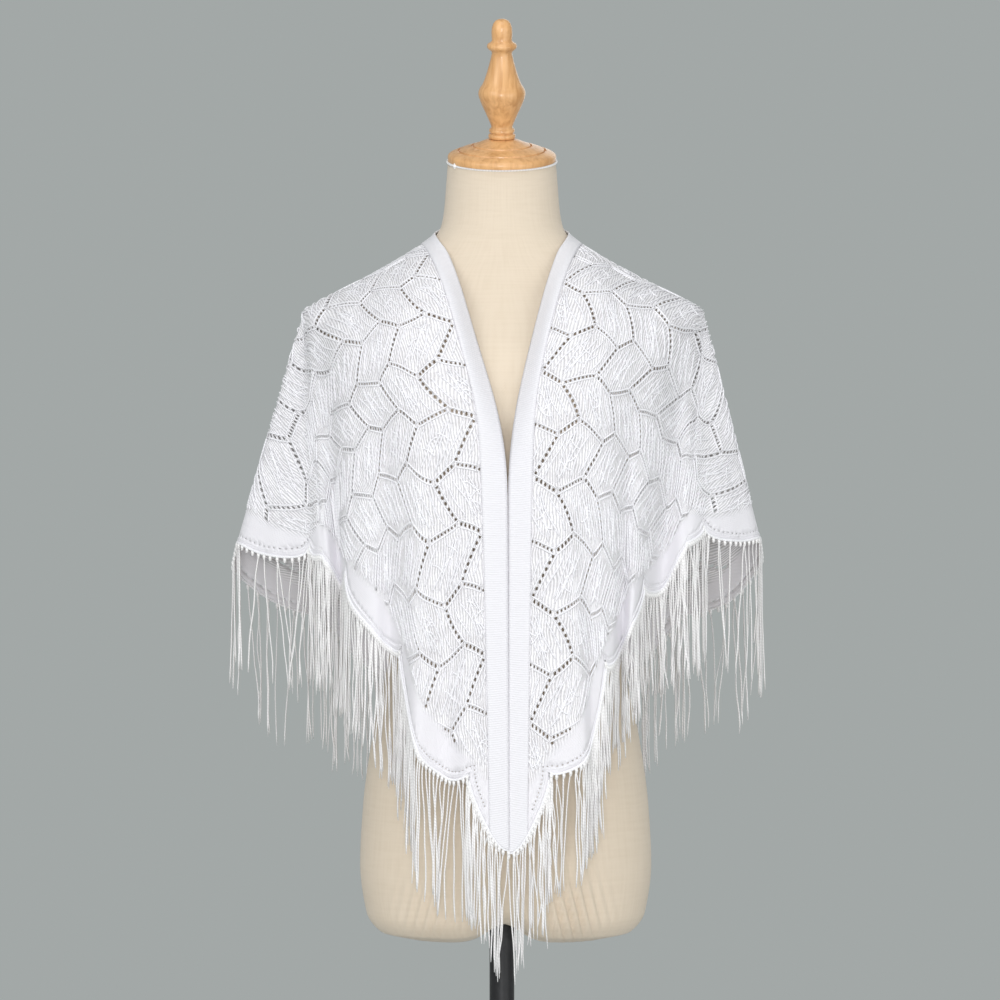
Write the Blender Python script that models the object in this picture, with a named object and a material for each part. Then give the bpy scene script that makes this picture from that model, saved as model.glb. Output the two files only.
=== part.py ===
"""A lace shawl draped over a limbless dress form on a round stand.

Metres, +Z up. The origin is the middle of the stand's underside, and the form
faces -Y. The shawl is one flat triangle of lace, laid over the form by a drape
rule: straight threads of the flat cloth ("rays") leave the neck and shoulder
lines, cross the body and then hang, and a short table says where each one hangs.
"""

from collections import namedtuple
from math import atan2, cos, exp, pi, radians, sin, tan

import bmesh
import bpy
import numpy as np
from mathutils import Matrix, Vector
from mathutils.geometry import delaunay_2d_cdt

# ---------------------------------------------------------------- driving sizes
GAP = 0.0003                   # clearance between touching pieces

BASE_RADIUS = 0.180            # round foot of the stand
BASE_THICK = 0.012
BOSS_RADIUS = 0.032            # socket that the pole stands in
BOSS_TOP = 0.045
POLE_RADIUS = 0.013
POLE_CLEAR = 0.0015             # from the pole's end up to the form's underside

FORM_BOTTOM = 0.482            # lowest point of the form
FORM_NOTCH = 0.020             # rise of the underside between its two lobes
FORM_NOTCH_WIDTH = 0.026
FORM_SIDES = 36
FORM_RINGS = 32
NECK_TOP = 1.296               # middle of the slanted neck top
NECK_BASE = 1.225
NECK_TILT = radians(16.0)      # the neck top and all on it lean forward
NECK_MIDDLE_Y = -0.004
CUP_X, CUP_HEIGHT = 0.074, 1.022
CUP_DEPTH, CUP_WIDTH, CUP_TALL = 0.024, 0.046, 0.058

CLOTH_HALF = 0.798             # half of the shawl's long straight edge
CLOTH_DEPTH = 0.604            # from the long edge to the apex, lobes left out
BAND_WIDTH = 0.0235            # plain band along the long edge
LACE_THICK = 0.0014
BAND_THICK = 0.0020

NECK_RUN = 0.103               # half of the long edge that lies round the neck
SHOULDER_FLAT = (0.1800, 0.1499)    # shoulder tip in the flat cloth
NECK_SIDE = (0.068, 0.000, 1.222)
NECK_BACK = (0.000, 0.062, 1.238)
FRONT_SPREAD = radians(40.0)   # how far the front rays fan out in the flat cloth
CLOTH_CLEAR = 0.0042           # from the form to the middle of the cloth

LOBES = 6                      # scallops between a front corner and the apex
FIRST_NOTCH = (0.085, 0.041)   # from the corner: along the edge, into the cloth
NOTCH_STEP = (0.1229, 0.0977)
CORNER_BULGE, LOBE_BULGE, APEX_BULGE = 0.009, 0.026, 0.062

REPEAT_IN = 0.0491             # lace repeat, into the cloth
REPEAT_ALONG = 0.1229          # lace repeat, along the long edge
REPEAT_PHASE = (0.0210, 0.4011)  # an eyelet row's lower end, in and along
EYELET_LONG, EYELET_WIDE = 0.0068, 0.0046
EYELET_EDGE_KEEP = 0.012       # cloth kept whole beside seams and edges
EYELET_FOLD_KEEP = 0.0055      # cloth kept whole beside a fold's crest or trough
SLIVER = 5e-8                  # twice the area of a triangle too thin to keep

STRAND_PITCH = 0.0104          # also the spacing of the hem's corners
STRAND_LENGTH = 0.146
STRAND_HALF = 0.0011
STRAND_APART = 0.0036          # least distance between two strands, seen from above
STRAND_CLEAR = 0.0080          # from the form to a strand's end
STRIP_MIDDLE = 0.0025          # middle of the fringe's strip, beyond the hem
STRIP_HALF = 0.0014
STRIP_THICK = 0.0015

# ------------------------------------------------------------------- small types
Section = namedtuple("Section", "height half_width front back squareness")
Hang = namedtuple("Hang", "ray x y z sweep hem_x hem_y hem_z draw")
Turned = namedtuple("Turned", "radius height")
Finish = namedtuple("Finish", "color roughness metallic")

FORM_SECTIONS = (
    Section(0.482, 0.100, 0.055, 0.065, 2.5),
    Section(0.490, 0.132, 0.080, 0.092, 2.5),
    Section(0.510, 0.146, 0.094, 0.108, 2.4),
    Section(0.560, 0.1525, 0.101, 0.118, 2.3),
    Section(0.620, 0.1495, 0.103, 0.120, 2.2),
    Section(0.690, 0.1400, 0.102, 0.113, 2.2),
    Section(0.760, 0.1250, 0.094, 0.094, 2.2),
    Section(0.829, 0.1130, 0.086, 0.082, 2.2),
    Section(0.890, 0.1190, 0.090, 0.086, 2.2),
    Section(0.960, 0.1350, 0.100, 0.098, 2.2),
    Section(1.022, 0.1500, 0.106, 0.108, 2.3),
    Section(1.080, 0.1700, 0.100, 0.112, 2.3),
    Section(1.112, 0.1900, 0.086, 0.107, 2.2),
    Section(1.130, 0.1960, 0.076, 0.100, 2.1),
    Section(1.145, 0.1800, 0.069, 0.092, 2.0),
    Section(1.165, 0.1480, 0.062, 0.080, 2.0),
    Section(1.185, 0.1160, 0.057, 0.069, 2.0),
    Section(1.200, 0.0930, 0.054, 0.062, 2.0),
    Section(1.213, 0.0720, 0.052, 0.058, 2.0),
    Section(1.226, 0.0640, 0.051, 0.056, 2.0),
    Section(1.245, 0.0605, 0.050, 0.054, 2.0),
    Section(1.270, 0.0585, 0.050, 0.053, 2.0),
    Section(1.296, 0.0565, 0.050, 0.052, 2.0),
)

# Ray 0 is the centre back, 1 the shoulder line, 2 the front of the wing that
# falls off the shoulder, 3 the front edge. x, y, z: where the ray leaves the
# body; hem_x, hem_y, hem_z: a place that it then hangs through. x is outwards.
# draw: the share of the cloth's length that is left once small creases are in.
BACK_HANG = (
    Hang(0.00, 0.000, 0.1200, 1.085, 0.080, 0.000, 0.137, 0.66, 1.00),
    Hang(0.22, 0.050, 0.1210, 1.085, 0.080, 0.056, 0.160, 0.70, 1.00),
    Hang(0.45, 0.098, 0.1120, 1.090, 0.070, 0.112, 0.121, 0.74, 1.00),
    Hang(0.66, 0.142, 0.0880, 1.098, 0.060, 0.175, 0.122, 0.80, 1.00),
    Hang(0.80, 0.172, 0.0600, 1.113, 0.050, 0.232, 0.084, 0.86, 0.99),
)
LEFT_HANG = BACK_HANG + (
    Hang(0.90, 0.192, 0.0340, 1.123, 0.030, 0.272, 0.044, 0.90, 0.98),
    Hang(1.00, 0.209, 0.0020, 1.136, 0.012, 0.270, 0.012, 0.89, 0.96),
    Hang(1.63, 0.209, 0.0020, 1.136, 0.012, 0.200, -0.046, 0.888, 0.99),
    Hang(2.00, 0.209, 0.0020, 1.136, 0.012, 0.184, -0.066, 0.873, 0.99),
    Hang(2.06, 0.203, -0.018, 1.127, 0.025, 0.179, -0.068, 0.865, 0.99),
    Hang(2.20, 0.186, -0.044, 1.108, 0.040, 0.167, -0.032, 0.850, 1.00),
    Hang(2.36, 0.162, -0.078, 1.082, 0.060, 0.152, -0.086, 0.840, 1.00),
    Hang(2.50, 0.137, -0.100, 1.060, 0.080, 0.123, -0.106, 0.815, 1.00),
    Hang(2.59, 0.120, -0.112, 1.050, 0.080, 0.112, -0.101, 0.795, 1.00),
    Hang(2.68, 0.103, -0.124, 1.039, 0.090, 0.100, -0.116, 0.765, 1.00),
    Hang(2.77, 0.085, -0.133, 1.030, 0.100, 0.084, -0.140, 0.710, 1.00),
    Hang(2.84, 0.060, -0.136, 1.025, 0.100, 0.058, -0.128, 0.690, 1.00),
    Hang(2.90, 0.040, -0.137, 1.020, 0.100, 0.034, -0.143, 0.680, 1.00),
    Hang(3.00, -0.0058, -0.130, 0.940, 0.150, -0.0058, -0.138, 0.600, 1.00),
)
RIGHT_HANG = BACK_HANG + (
    Hang(0.90, 0.192, 0.0340, 1.123, 0.030, 0.266, 0.044, 0.90, 0.96),
    Hang(1.00, 0.209, 0.0020, 1.136, 0.012, 0.264, 0.012, 0.89, 0.95),
    Hang(1.63, 0.209, 0.0020, 1.136, 0.012, 0.210, -0.046, 0.900, 0.94),
    Hang(2.00, 0.209, 0.0020, 1.136, 0.012, 0.190, -0.066, 0.880, 0.94),
    Hang(2.06, 0.203, -0.018, 1.127, 0.025, 0.184, -0.068, 0.865, 0.94),
    Hang(2.20, 0.186, -0.044, 1.108, 0.040, 0.171, -0.032, 0.850, 0.96),
    Hang(2.34, 0.165, -0.075, 1.084, 0.060, 0.158, -0.084, 0.840, 0.99),
    Hang(2.45, 0.146, -0.093, 1.067, 0.080, 0.139, -0.104, 0.825, 1.00),
    Hang(2.53, 0.131, -0.105, 1.056, 0.080, 0.129, -0.092, 0.805, 1.00),
    Hang(2.61, 0.116, -0.117, 1.046, 0.090, 0.119, -0.116, 0.785, 1.00),
    Hang(2.71, 0.097, -0.129, 1.036, 0.090, 0.102, -0.124, 0.740, 1.00),
    Hang(2.77, 0.084, -0.133, 1.030, 0.100, 0.093, -0.119, 0.715, 1.00),
    Hang(2.83, 0.066, -0.136, 1.025, 0.100, 0.083, -0.138, 0.700, 1.00),
    Hang(2.90, 0.044, -0.137, 1.020, 0.100, 0.050, -0.142, 0.680, 1.00),
    Hang(3.00, 0.0073, -0.130, 0.940, 0.150, 0.0073, -0.138, 0.600, 1.00),
)

CAP_PROFILE = (
    Turned(0.0565, 0.0004),
    Turned(0.0565, 0.0060),
    Turned(0.0545, 0.0085),
    Turned(0.0450, 0.0105),
    Turned(0.0435, 0.0140),
    Turned(0.0290, 0.0165),
    Turned(0.0270, 0.0205),
    Turned(0.0160, 0.0230),
)
FINIAL_PROFILE = (
    Turned(0.0135, 0.0000),
    Turned(0.0140, 0.0040),
    Turned(0.0120, 0.0060),
    Turned(0.0130, 0.0100),
    Turned(0.0115, 0.0125),
    Turned(0.0170, 0.0270),
    Turned(0.0215, 0.0370),
    Turned(0.0245, 0.0440),
    Turned(0.0245, 0.0500),
    Turned(0.0205, 0.0560),
    Turned(0.0150, 0.0720),
    Turned(0.0115, 0.0850),
    Turned(0.0105, 0.0900),
    Turned(0.0155, 0.0950),
    Turned(0.0155, 0.0990),
    Turned(0.0105, 0.1020),
    Turned(0.0110, 0.1120),
    Turned(0.0095, 0.1200),
    Turned(0.0055, 0.1250),
)

LACE = Finish((0.93, 0.93, 0.96), 0.85, 0.0)
LINEN = Finish((0.78, 0.68, 0.52), 0.90, 0.0)
WOOD = Finish((0.60, 0.33, 0.12), 0.35, 0.0)
BLACK_METAL = Finish((0.02, 0.02, 0.02), 0.45, 0.6)


# ----------------------------------------------------------------------- helpers
def clear_scene():
    """Remove whatever the opened file holds."""
    for item in list(bpy.data.objects):
        bpy.data.objects.remove(item, do_unlink=True)


def make_material(name, finish):
    """Make a plain Principled material."""
    material = bpy.data.materials.new(name)
    material.use_nodes = True
    shader = material.node_tree.nodes["Principled BSDF"]
    shader.inputs["Base Color"].default_value = (*finish.color, 1.0)
    shader.inputs["Roughness"].default_value = finish.roughness
    shader.inputs["Metallic"].default_value = finish.metallic
    return material


def add_object(name, vertices, faces, material):
    """Make a closed object with its faces pointing out."""
    shell = bmesh.new()
    corners = [shell.verts.new(tuple(map(float, point))) for point in vertices]
    for face in faces:
        shell.faces.new([corners[i] for i in face])
    bent = [face for face in shell.faces if len(face.verts) == 4]
    bmesh.ops.triangulate(shell, faces=bent, quad_method="SHORT_EDGE")
    bmesh.ops.recalc_face_normals(shell, faces=shell.faces)
    if shell.calc_volume(signed=True) < 0:
        bmesh.ops.reverse_faces(shell, faces=shell.faces)
    mesh = bpy.data.meshes.new(name)
    shell.to_mesh(mesh)
    shell.free()
    mesh.shade_smooth()
    mesh.set_sharp_from_angle(angle=radians(40))
    mesh.materials.append(material)
    item = bpy.data.objects.new(name, mesh)
    bpy.context.scene.collection.objects.link(item)
    return item


def unit(vectors):
    """Vectors scaled to a length of one."""
    return vectors / np.maximum(np.linalg.norm(vectors, axis=-1, keepdims=True), 1e-12)


def smooth_table(rows, field, at, key):
    """Read one column of a table with a curve that never overshoots its rows."""
    xs = np.array([getattr(row, key) for row in rows], dtype=float)
    ys = np.array([getattr(row, field) for row in rows], dtype=float)
    at = np.clip(at, xs[0], xs[-1])
    step = np.diff(xs)
    slope = np.diff(ys) / step
    tangent = np.concatenate(([slope[0]], np.zeros(len(xs) - 2), [slope[-1]]))
    same_way = slope[:-1] * slope[1:] > 0
    mean = 2 * slope[:-1] * slope[1:] / np.where(same_way, slope[:-1] + slope[1:], 1.0)
    tangent[1:-1] = np.where(same_way, mean, 0.0)
    i = np.clip(np.searchsorted(xs, at, side="right") - 1, 0, len(step) - 1)
    t = (at - xs[i]) / step[i]
    rise = t * t * (3 - 2 * t)
    return (ys[i] * (1 - rise) + ys[i + 1] * rise
            + step[i] * (tangent[i] * t * (1 - t) ** 2 - tangent[i + 1] * t * t * (1 - t)))


# -------------------------------------------------------------------------- form
def cup(x, z):
    """Forward swell of the bust at a place on the front."""
    across = (np.abs(x) - CUP_X) / CUP_WIDTH
    up = (z - CUP_HEIGHT) / CUP_TALL
    return CUP_DEPTH * np.exp(-across ** 2 - up ** 2)


def form_size(z):
    """Half-width, front depth, back depth and squareness of the form at a height."""
    return tuple(smooth_table(FORM_SECTIONS, field, z, "height")
                 for field in ("half_width", "front", "back", "squareness"))


def push_off_form(points, clearance):
    """Move points that lie in or near the form straight out from its axis."""
    x, y, z = points[..., 0], points[..., 1] - NECK_MIDDLE_Y, points[..., 2]
    half_width, front, back, power = form_size(z)
    depth = np.where(y < 0, front + cup(x, z), back)
    level = (np.abs(x / half_width) ** power + np.abs(y / depth) ** power) ** (1 / power)
    level = np.maximum(level, 0.05)
    radius = np.hypot(x, y) / level
    wanted = 1 + clearance / np.maximum(radius, 0.01)
    near = np.where(z < NECK_TOP, wanted - level, -1.0)
    softness = 0.02
    push = 0.5 * (near + np.sqrt(near ** 2 + softness ** 2)) - 0.25 * softness
    scale = np.where(near > -2 * softness, (level + np.maximum(push, 0)) / level, 1.0)
    return np.stack([x * scale, y * scale + NECK_MIDDLE_Y, z], axis=-1)


def notch_rise(x):
    """How far the underside rises between the form's two lobes."""
    return FORM_NOTCH * exp(-(x / FORM_NOTCH_WIDTH) ** 2)


def form_point(height, turn):
    """A point on the form, with the slanted neck top and the lobed underside."""
    half_width, front, back, power = (float(v) for v in form_size(np.array(height)))
    c, s = cos(turn), sin(turn)
    x = half_width * abs(c) ** (2 / power) * (1 if c > 0 else -1)
    reach = abs(s) ** (2 / power)
    y = reach * back if s > 0 else -reach * (front + float(cup(x, height)))
    slant = max(0.0, (height - NECK_BASE) / (NECK_TOP - NECK_BASE))
    low = max(0.0, 1 - (height - FORM_BOTTOM) / 0.05)
    return x, y + NECK_MIDDLE_Y, height + y * tan(NECK_TILT) * slant + notch_rise(x) * low


def build_form(material):
    """The padded torso: rings joined side to side, with a cap at each end."""
    share = np.linspace(0, 1, FORM_RINGS)
    bunched = share - 0.09 * np.sin(2 * pi * share) - 0.015 * np.sin(4 * pi * share)
    heights = FORM_BOTTOM + (NECK_TOP - FORM_BOTTOM) * bunched
    turns = [2 * pi * (i + 0.5) / FORM_SIDES for i in range(FORM_SIDES)]
    rings = [[form_point(float(h), a) for a in turns] for h in heights]
    under = [[(x * share, y * share, FORM_BOTTOM + notch_rise(x * share)) for x, y, _ in rings[0]]
             for share in (0.13, 0.30, 0.50, 0.75)]
    rings = under + rings
    points = [p for ring in rings for p in ring]
    faces = []
    for level in range(len(rings) - 1):
        for i in range(FORM_SIDES):
            j = (i + 1) % FORM_SIDES
            low, high = level * FORM_SIDES, (level + 1) * FORM_SIDES
            faces.append((low + i, low + j, high + j, high + i))
    faces.append(tuple(range(FORM_SIDES))[::-1])
    faces.append(tuple(range(len(points) - FORM_SIDES, len(points))))
    return add_object("form_torso", points, faces, material)


def build_turned(name, profile, sides, place, material):
    """A closed turned piece: profile radii and heights, spun about its axis."""
    turns = [2 * pi * i / sides for i in range(sides)]
    points = [place @ Vector((row.radius * cos(a), row.radius * sin(a), row.height))
              for row in profile for a in turns]
    faces = []
    for level in range(len(profile) - 1):
        for i in range(sides):
            j = (i + 1) % sides
            low, high = level * sides, (level + 1) * sides
            faces.append((low + i, low + j, high + j, high + i))
    faces.append(tuple(range(sides))[::-1])
    faces.append(tuple(range(len(points) - sides, len(points))))
    return add_object(name, points, faces, material)


def build_stand(material):
    """The round foot with its socket, and the pole up to the form."""
    foot = (Turned(BASE_RADIUS - 0.002, 0.0), Turned(BASE_RADIUS, 0.002),
            Turned(BASE_RADIUS, BASE_THICK - 0.002), Turned(BASE_RADIUS - 0.002, BASE_THICK),
            Turned(BOSS_RADIUS + 0.010, BASE_THICK + 0.002), Turned(BOSS_RADIUS, BASE_THICK + 0.012),
            Turned(BOSS_RADIUS - 0.010, BOSS_TOP))
    build_turned("stand_base", foot, 36, Matrix.Identity(4), material)
    top = FORM_BOTTOM + notch_rise(POLE_RADIUS) - POLE_CLEAR
    pole = (Turned(POLE_RADIUS, BOSS_TOP + GAP), Turned(POLE_RADIUS, top))
    build_turned("stand_pole", pole, 16, Matrix.Identity(4), material)


def build_neck_wood(material):
    """The stepped cap on the neck and the finial on it, both leaning forward."""
    seat = (Matrix.Translation((0, NECK_MIDDLE_Y, NECK_TOP))
            @ Matrix.Rotation(NECK_TILT, 4, "X"))
    build_turned("neck_cap", CAP_PROFILE, 36, seat, material)
    lift = CAP_PROFILE[-1].height + GAP
    build_turned("finial", FINIAL_PROFILE, 20, seat @ Matrix.Translation((0, 0, lift)), material)


# -------------------------------------------------------------------- drape rule
def flat_ray(ray):
    """Where each ray starts in the flat cloth, and its direction there."""
    across = np.clip(ray, 0, 1)
    fan = np.clip(ray - 1, 0, 1)
    front = np.clip(3 - ray, 0, 1)
    seam = atan2(SHOULDER_FLAT[1], SHOULDER_FLAT[0] - NECK_RUN)
    start_u = np.where(ray < 1, NECK_RUN * across,
                       np.where(ray < 2, SHOULDER_FLAT[0],
                                NECK_RUN + (SHOULDER_FLAT[0] - NECK_RUN) * front))
    start_v = np.where(ray < 1, 0.0,
                       np.where(ray < 2, SHOULDER_FLAT[1], SHOULDER_FLAT[1] * front))
    angle = np.where(ray < 1, pi / 2 - (pi / 2 - seam) * across,
                     np.where(ray < 2, seam - (seam - FRONT_SPREAD) * fan,
                              FRONT_SPREAD * front ** 1.2))
    return start_u, start_v, angle


def seam_distance(flat):
    """Distance in front of the shoulder line, which parts front and back."""
    direction = np.array(SHOULDER_FLAT) - (NECK_RUN, 0.0)
    direction /= np.linalg.norm(direction)
    u, v = np.abs(flat[:, 0]) - NECK_RUN, flat[:, 1]
    return u * direction[1] - v * direction[0]


def find_ray(u, v):
    """The ray that passes through each flat point, and the distance along it."""
    in_front = seam_distance(np.stack([u, v], axis=1)) > 0
    low, high = np.where(in_front, 1.0, 0.0), np.where(in_front, 3.0, 1.0)
    for _ in range(40):
        middle = 0.5 * (low + high)
        start_u, start_v, angle = flat_ray(middle)
        beyond = np.cos(angle) * (v - start_v) - np.sin(angle) * (u - start_u) > 0
        high = np.where(beyond, middle, high)
        low = np.where(beyond, low, middle)
    ray = 0.5 * (low + high)
    start_u, start_v, angle = flat_ray(ray)
    return ray, np.cos(angle) * (u - start_u) + np.sin(angle) * (v - start_v)


def ray_top(ray, rows):
    """Where each ray starts on the form: the back of the neck or the shoulder line."""
    turn = 0.5 * pi * np.clip(ray, 0, 1)
    top = np.stack([NECK_SIDE[0] * np.sin(turn), NECK_BACK[1] * np.cos(turn),
                    NECK_SIDE[2] + (NECK_BACK[2] - NECK_SIDE[2]) * np.cos(turn)], axis=-1)
    ahead = ray >= 1
    if ahead.any():
        along = np.clip(3 - ray[ahead], 0, 1) * np.hypot(SHOULDER_FLAT[0] - NECK_RUN, SHOULDER_FLAT[1])
        top[ahead] = hang_rays(np.full(len(along), 1 - 1e-9), along, rows)
    return top


def hang_rays(ray, distance, rows):
    """Follow rays over the body and down, to points at given distances."""
    top = ray_top(ray, rows)
    leave = np.stack([smooth_table(rows, f, ray, "ray") for f in ("x", "y", "z")], axis=-1)
    low = np.stack([smooth_table(rows, f, ray, "ray") for f in ("hem_x", "hem_y", "hem_z")], axis=-1)
    distance = distance * smooth_table(rows, "draw", ray, "ray")
    apart = np.linalg.norm(leave - top, axis=-1)
    sweep = np.minimum(smooth_table(rows, "sweep", ray, "ray"), 0.45 * apart)[..., None]
    down = low - leave
    down /= np.linalg.norm(down, axis=-1, keepdims=True)
    back = (ray < 1)[..., None]
    level = 0.12 + 0.28 * np.clip(ray, 0, 1)[..., None] ** 2
    start_share = np.where(back, 0.4 * np.array([1, 1, 0]) + level * np.array([0, 0, 1]),
                           np.array([0.10, 0.45, 0.03]))
    first = top + (leave - top) * start_share
    second = leave - down * sweep
    t = np.linspace(0, 1, 25)[None, :, None]
    curve = ((1 - t) ** 3 * top[:, None] + 3 * t * (1 - t) ** 2 * first[:, None]
             + 3 * t * t * (1 - t) * second[:, None] + t ** 3 * leave[:, None])
    curve = push_off_form(curve, CLOTH_CLEAR)
    steps = np.linalg.norm(np.diff(curve, axis=1), axis=-1)
    reach = np.concatenate([np.zeros((len(ray), 1)), np.cumsum(steps, axis=1)], axis=1)
    i = np.clip((reach <= distance[:, None]).sum(axis=1) - 1, 0, curve.shape[1] - 2)
    row = np.arange(len(ray))
    length = np.maximum(reach[row, i + 1] - reach[row, i], 1e-9)
    share = np.clip((distance - reach[row, i]) / length, 0, 1)[:, None]
    on_body = curve[row, i] * (1 - share) + curve[row, i + 1] * share
    beyond = np.maximum(distance - reach[:, -1], 0)[:, None]
    return push_off_form(on_body + down * beyond, CLOTH_CLEAR)


def drape(flat):
    """Lay flat points (u along the long edge, v into the cloth) over the form."""
    u, v = flat[:, 0], flat[:, 1]
    ray, distance = find_ray(np.abs(u), v)
    left = hang_rays(ray, distance, LEFT_HANG)
    right = hang_rays(ray, distance, RIGHT_HANG)
    left[:, 0] *= -1
    return np.where((u < 0)[:, None], left, right)


def drape_normals(flat):
    """Surface directions of the draped cloth, away from the body."""
    step = 0.0015
    shallow = np.stack([flat[:, 0], np.maximum(flat[:, 1] - step, 0)], axis=1)
    across = drape(flat + (step, 0)) - drape(flat - (step, 0))
    along = drape(flat + (0, step)) - drape(shallow)
    return unit(np.cross(across, along))


def shared_normals(flat):
    """Directions for points on seams, the same for the pieces on both sides."""
    seam = np.array(SHOULDER_FLAT) - (NECK_RUN, 0.0)
    ahead = 0.004 * np.array([seam[1], -seam[0]]) / np.linalg.norm(seam)
    side = np.where(flat[:, 0] < 0, -1.0, 1.0)
    near = np.abs(seam_distance(flat)) < 0.001
    shift = np.stack([ahead[0] * side, np.full(len(flat), ahead[1])], axis=1) * near[:, None]
    front, behind = flat + shift, flat - shift
    front[:, 1] = np.maximum(front[:, 1], 0)
    return unit(drape_normals(front) + drape_normals(behind))


# ------------------------------------------------------------------- flat outline
def lobe(start, end, bulge):
    """One scallop of the hem between two notches, its end point left out."""
    start, end = np.array(start), np.array(end)
    chord = end - start
    out = np.array([-chord[1], chord[0]]) / np.linalg.norm(chord)
    out *= 1 if out[1] > 0 else -1
    share = np.linspace(0, 1, 121)[:, None]
    curve = start + chord * share + out * bulge * np.sin(pi * share).clip(0) ** 0.6
    run = np.concatenate([[0], np.cumsum(np.linalg.norm(np.diff(curve, axis=0), axis=1))])
    at = np.linspace(0, run[-1], round(run[-1] / STRAND_PITCH) + 1)[:-1]
    return list(zip(np.interp(at, run, curve[:, 0]), np.interp(at, run, curve[:, 1])))


def hem_line():
    """The scalloped hem from the right front corner round to the left one."""
    notches = [(CLOTH_HALF - FIRST_NOTCH[0] - NOTCH_STEP[0] * k,
                FIRST_NOTCH[1] + NOTCH_STEP[1] * k) for k in range(LOBES)]
    side = lobe((CLOTH_HALF, 0.0), notches[0], CORNER_BULGE)
    for start, end in zip(notches, notches[1:]):
        side += lobe(start, end, LOBE_BULGE)
    last = notches[-1]
    apex = lobe(last, (-last[0], last[1]), APEX_BULGE)
    mirrored = [(-x, y) for x, y in side[::-1]]
    return np.array(side + apex + [(-last[0], last[1])] + mirrored)


def seam_point(v, offset):
    """The point on the shoulder line at depth v, moved to the front by offset."""
    angle = atan2(SHOULDER_FLAT[1], SHOULDER_FLAT[0] - NECK_RUN)
    return NECK_RUN + v / tan(angle) + offset / sin(angle), v


def cut_hem(hem, offset):
    """Split the hem where it crosses the shoulder line on the right-hand side."""
    distance = seam_distance(hem) - offset
    half = len(hem) // 2
    i = int(np.nonzero(distance[:half] > 0)[0][-1])
    share = distance[i] / (distance[i] - distance[i + 1])
    return i, hem[i] * (1 - share) + hem[i + 1] * share


def seam_run(low, high, offset):
    """Points on the shoulder line between two depths, the same on both sides of it."""
    near = np.arange(BAND_WIDTH + 0.0125, SHOULDER_FLAT[1] - 0.006, 0.0125)
    below = SHOULDER_FLAT[1] + 0.007 + 0.022 * np.arange(14)
    return [seam_point(float(v), offset) for v in np.concatenate([near, below])
            if low + 0.004 < v < high - 0.004]


def edge_run(low, high, v):
    """Points along the long edge's direction, the same for the band and the lace."""
    near = 0.0135 * np.arange(-22, 23)
    beyond = near[-1] + 0.024 * np.arange(1, 21)
    return [(float(u), v) for u in np.concatenate([-beyond[::-1], near, beyond])
            if low + 0.004 < u < high - 0.004]


def front_outline(hem):
    """Flat outline of the right-hand lace front, anticlockwise."""
    i, crossing = cut_hem(hem, GAP / 2)
    inner_edge = BAND_WIDTH + GAP
    tip = 0
    while hem[tip][1] < inner_edge:
        tip += 1
    share = (inner_edge - hem[tip - 1][1]) / (hem[tip][1] - hem[tip - 1][1])
    corner = hem[tip - 1] * (1 - share) + hem[tip] * share
    start = seam_point(inner_edge, GAP / 2)
    return ([start] + edge_run(start[0], corner[0], inner_edge) + [tuple(corner)]
            + [tuple(p) for p in hem[tip:i + 1]] + [tuple(crossing)]
            + seam_run(start[1], crossing[1], GAP / 2)[::-1])


def mirror_outline(outline):
    """The same outline on the other side of the centre back, still anticlockwise."""
    return [(-x, y) for x, y in outline[::-1]]


def back_outline(hem):
    """Flat outline of the lace back, anticlockwise."""
    i, crossing = cut_hem(hem, -GAP / 2)
    right = seam_point(BAND_WIDTH + GAP, -GAP / 2)
    side = [right] + seam_run(right[1], crossing[1], -GAP / 2) + [tuple(crossing)]
    return (edge_run(-right[0], right[0], right[1]) + side
            + [tuple(p) for p in hem[i + 1:len(hem) - i - 1]] + mirror_outline(side))


def front_band_outline(hem):
    """Flat outline of the right-hand front band."""
    tip = 0
    while hem[tip][1] < BAND_WIDTH:
        tip += 1
    share = (BAND_WIDTH - hem[tip - 1][1]) / (hem[tip][1] - hem[tip - 1][1])
    corner = tuple(hem[tip - 1] * (1 - share) + hem[tip] * share)
    start, end = seam_point(0.0, GAP / 2), seam_point(BAND_WIDTH, GAP / 2)
    return ([start] + edge_run(start[0], hem[0][0], 0.0) + [tuple(p) for p in hem[:tip]]
            + [corner] + edge_run(end[0], corner[0], BAND_WIDTH)[::-1] + [end])


def neck_band_outline():
    """Flat outline of the band round the back of the neck."""
    low, high = seam_point(0.0, -GAP / 2), seam_point(BAND_WIDTH, -GAP / 2)
    return ([(-low[0], 0.0)] + edge_run(-low[0], low[0], 0.0) + [low, high]
            + edge_run(-high[0], high[0], BAND_WIDTH)[::-1] + [(-high[0], high[1])])


# ------------------------------------------------------------------- cloth walls
def inside(points, outline):
    """Which points lie inside a closed outline, by counting crossings."""
    loop = np.array(outline)
    following = np.roll(loop, -1, axis=0)
    x, y = points[:, None, 0], points[:, None, 1]
    rise = following[:, 1] - loop[:, 1]
    rise = np.where(np.abs(rise) < 1e-12, 1e-12, rise)
    crosses = (loop[:, 1] > y) != (following[:, 1] > y)
    at = loop[:, 0] + (y - loop[:, 1]) / rise * (following[:, 0] - loop[:, 0])
    return (crosses & (x < at)).sum(axis=1) % 2 == 1


def distance_to_line(points, line):
    """Shortest distance from each point to an open line."""
    start, edge = line[:-1], np.diff(line, axis=0)
    span = np.maximum((edge ** 2).sum(axis=1), 1e-12)
    offset = points[:, None] - start[None]
    share = np.clip((offset * edge).sum(axis=2) / span, 0, 1)
    return np.linalg.norm(offset - share[..., None] * edge, axis=2).min(axis=1)


def distance_to_loop(points, outline):
    """Shortest distance from each point to a closed outline."""
    return distance_to_line(points, np.array([*outline, outline[0]]))


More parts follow.
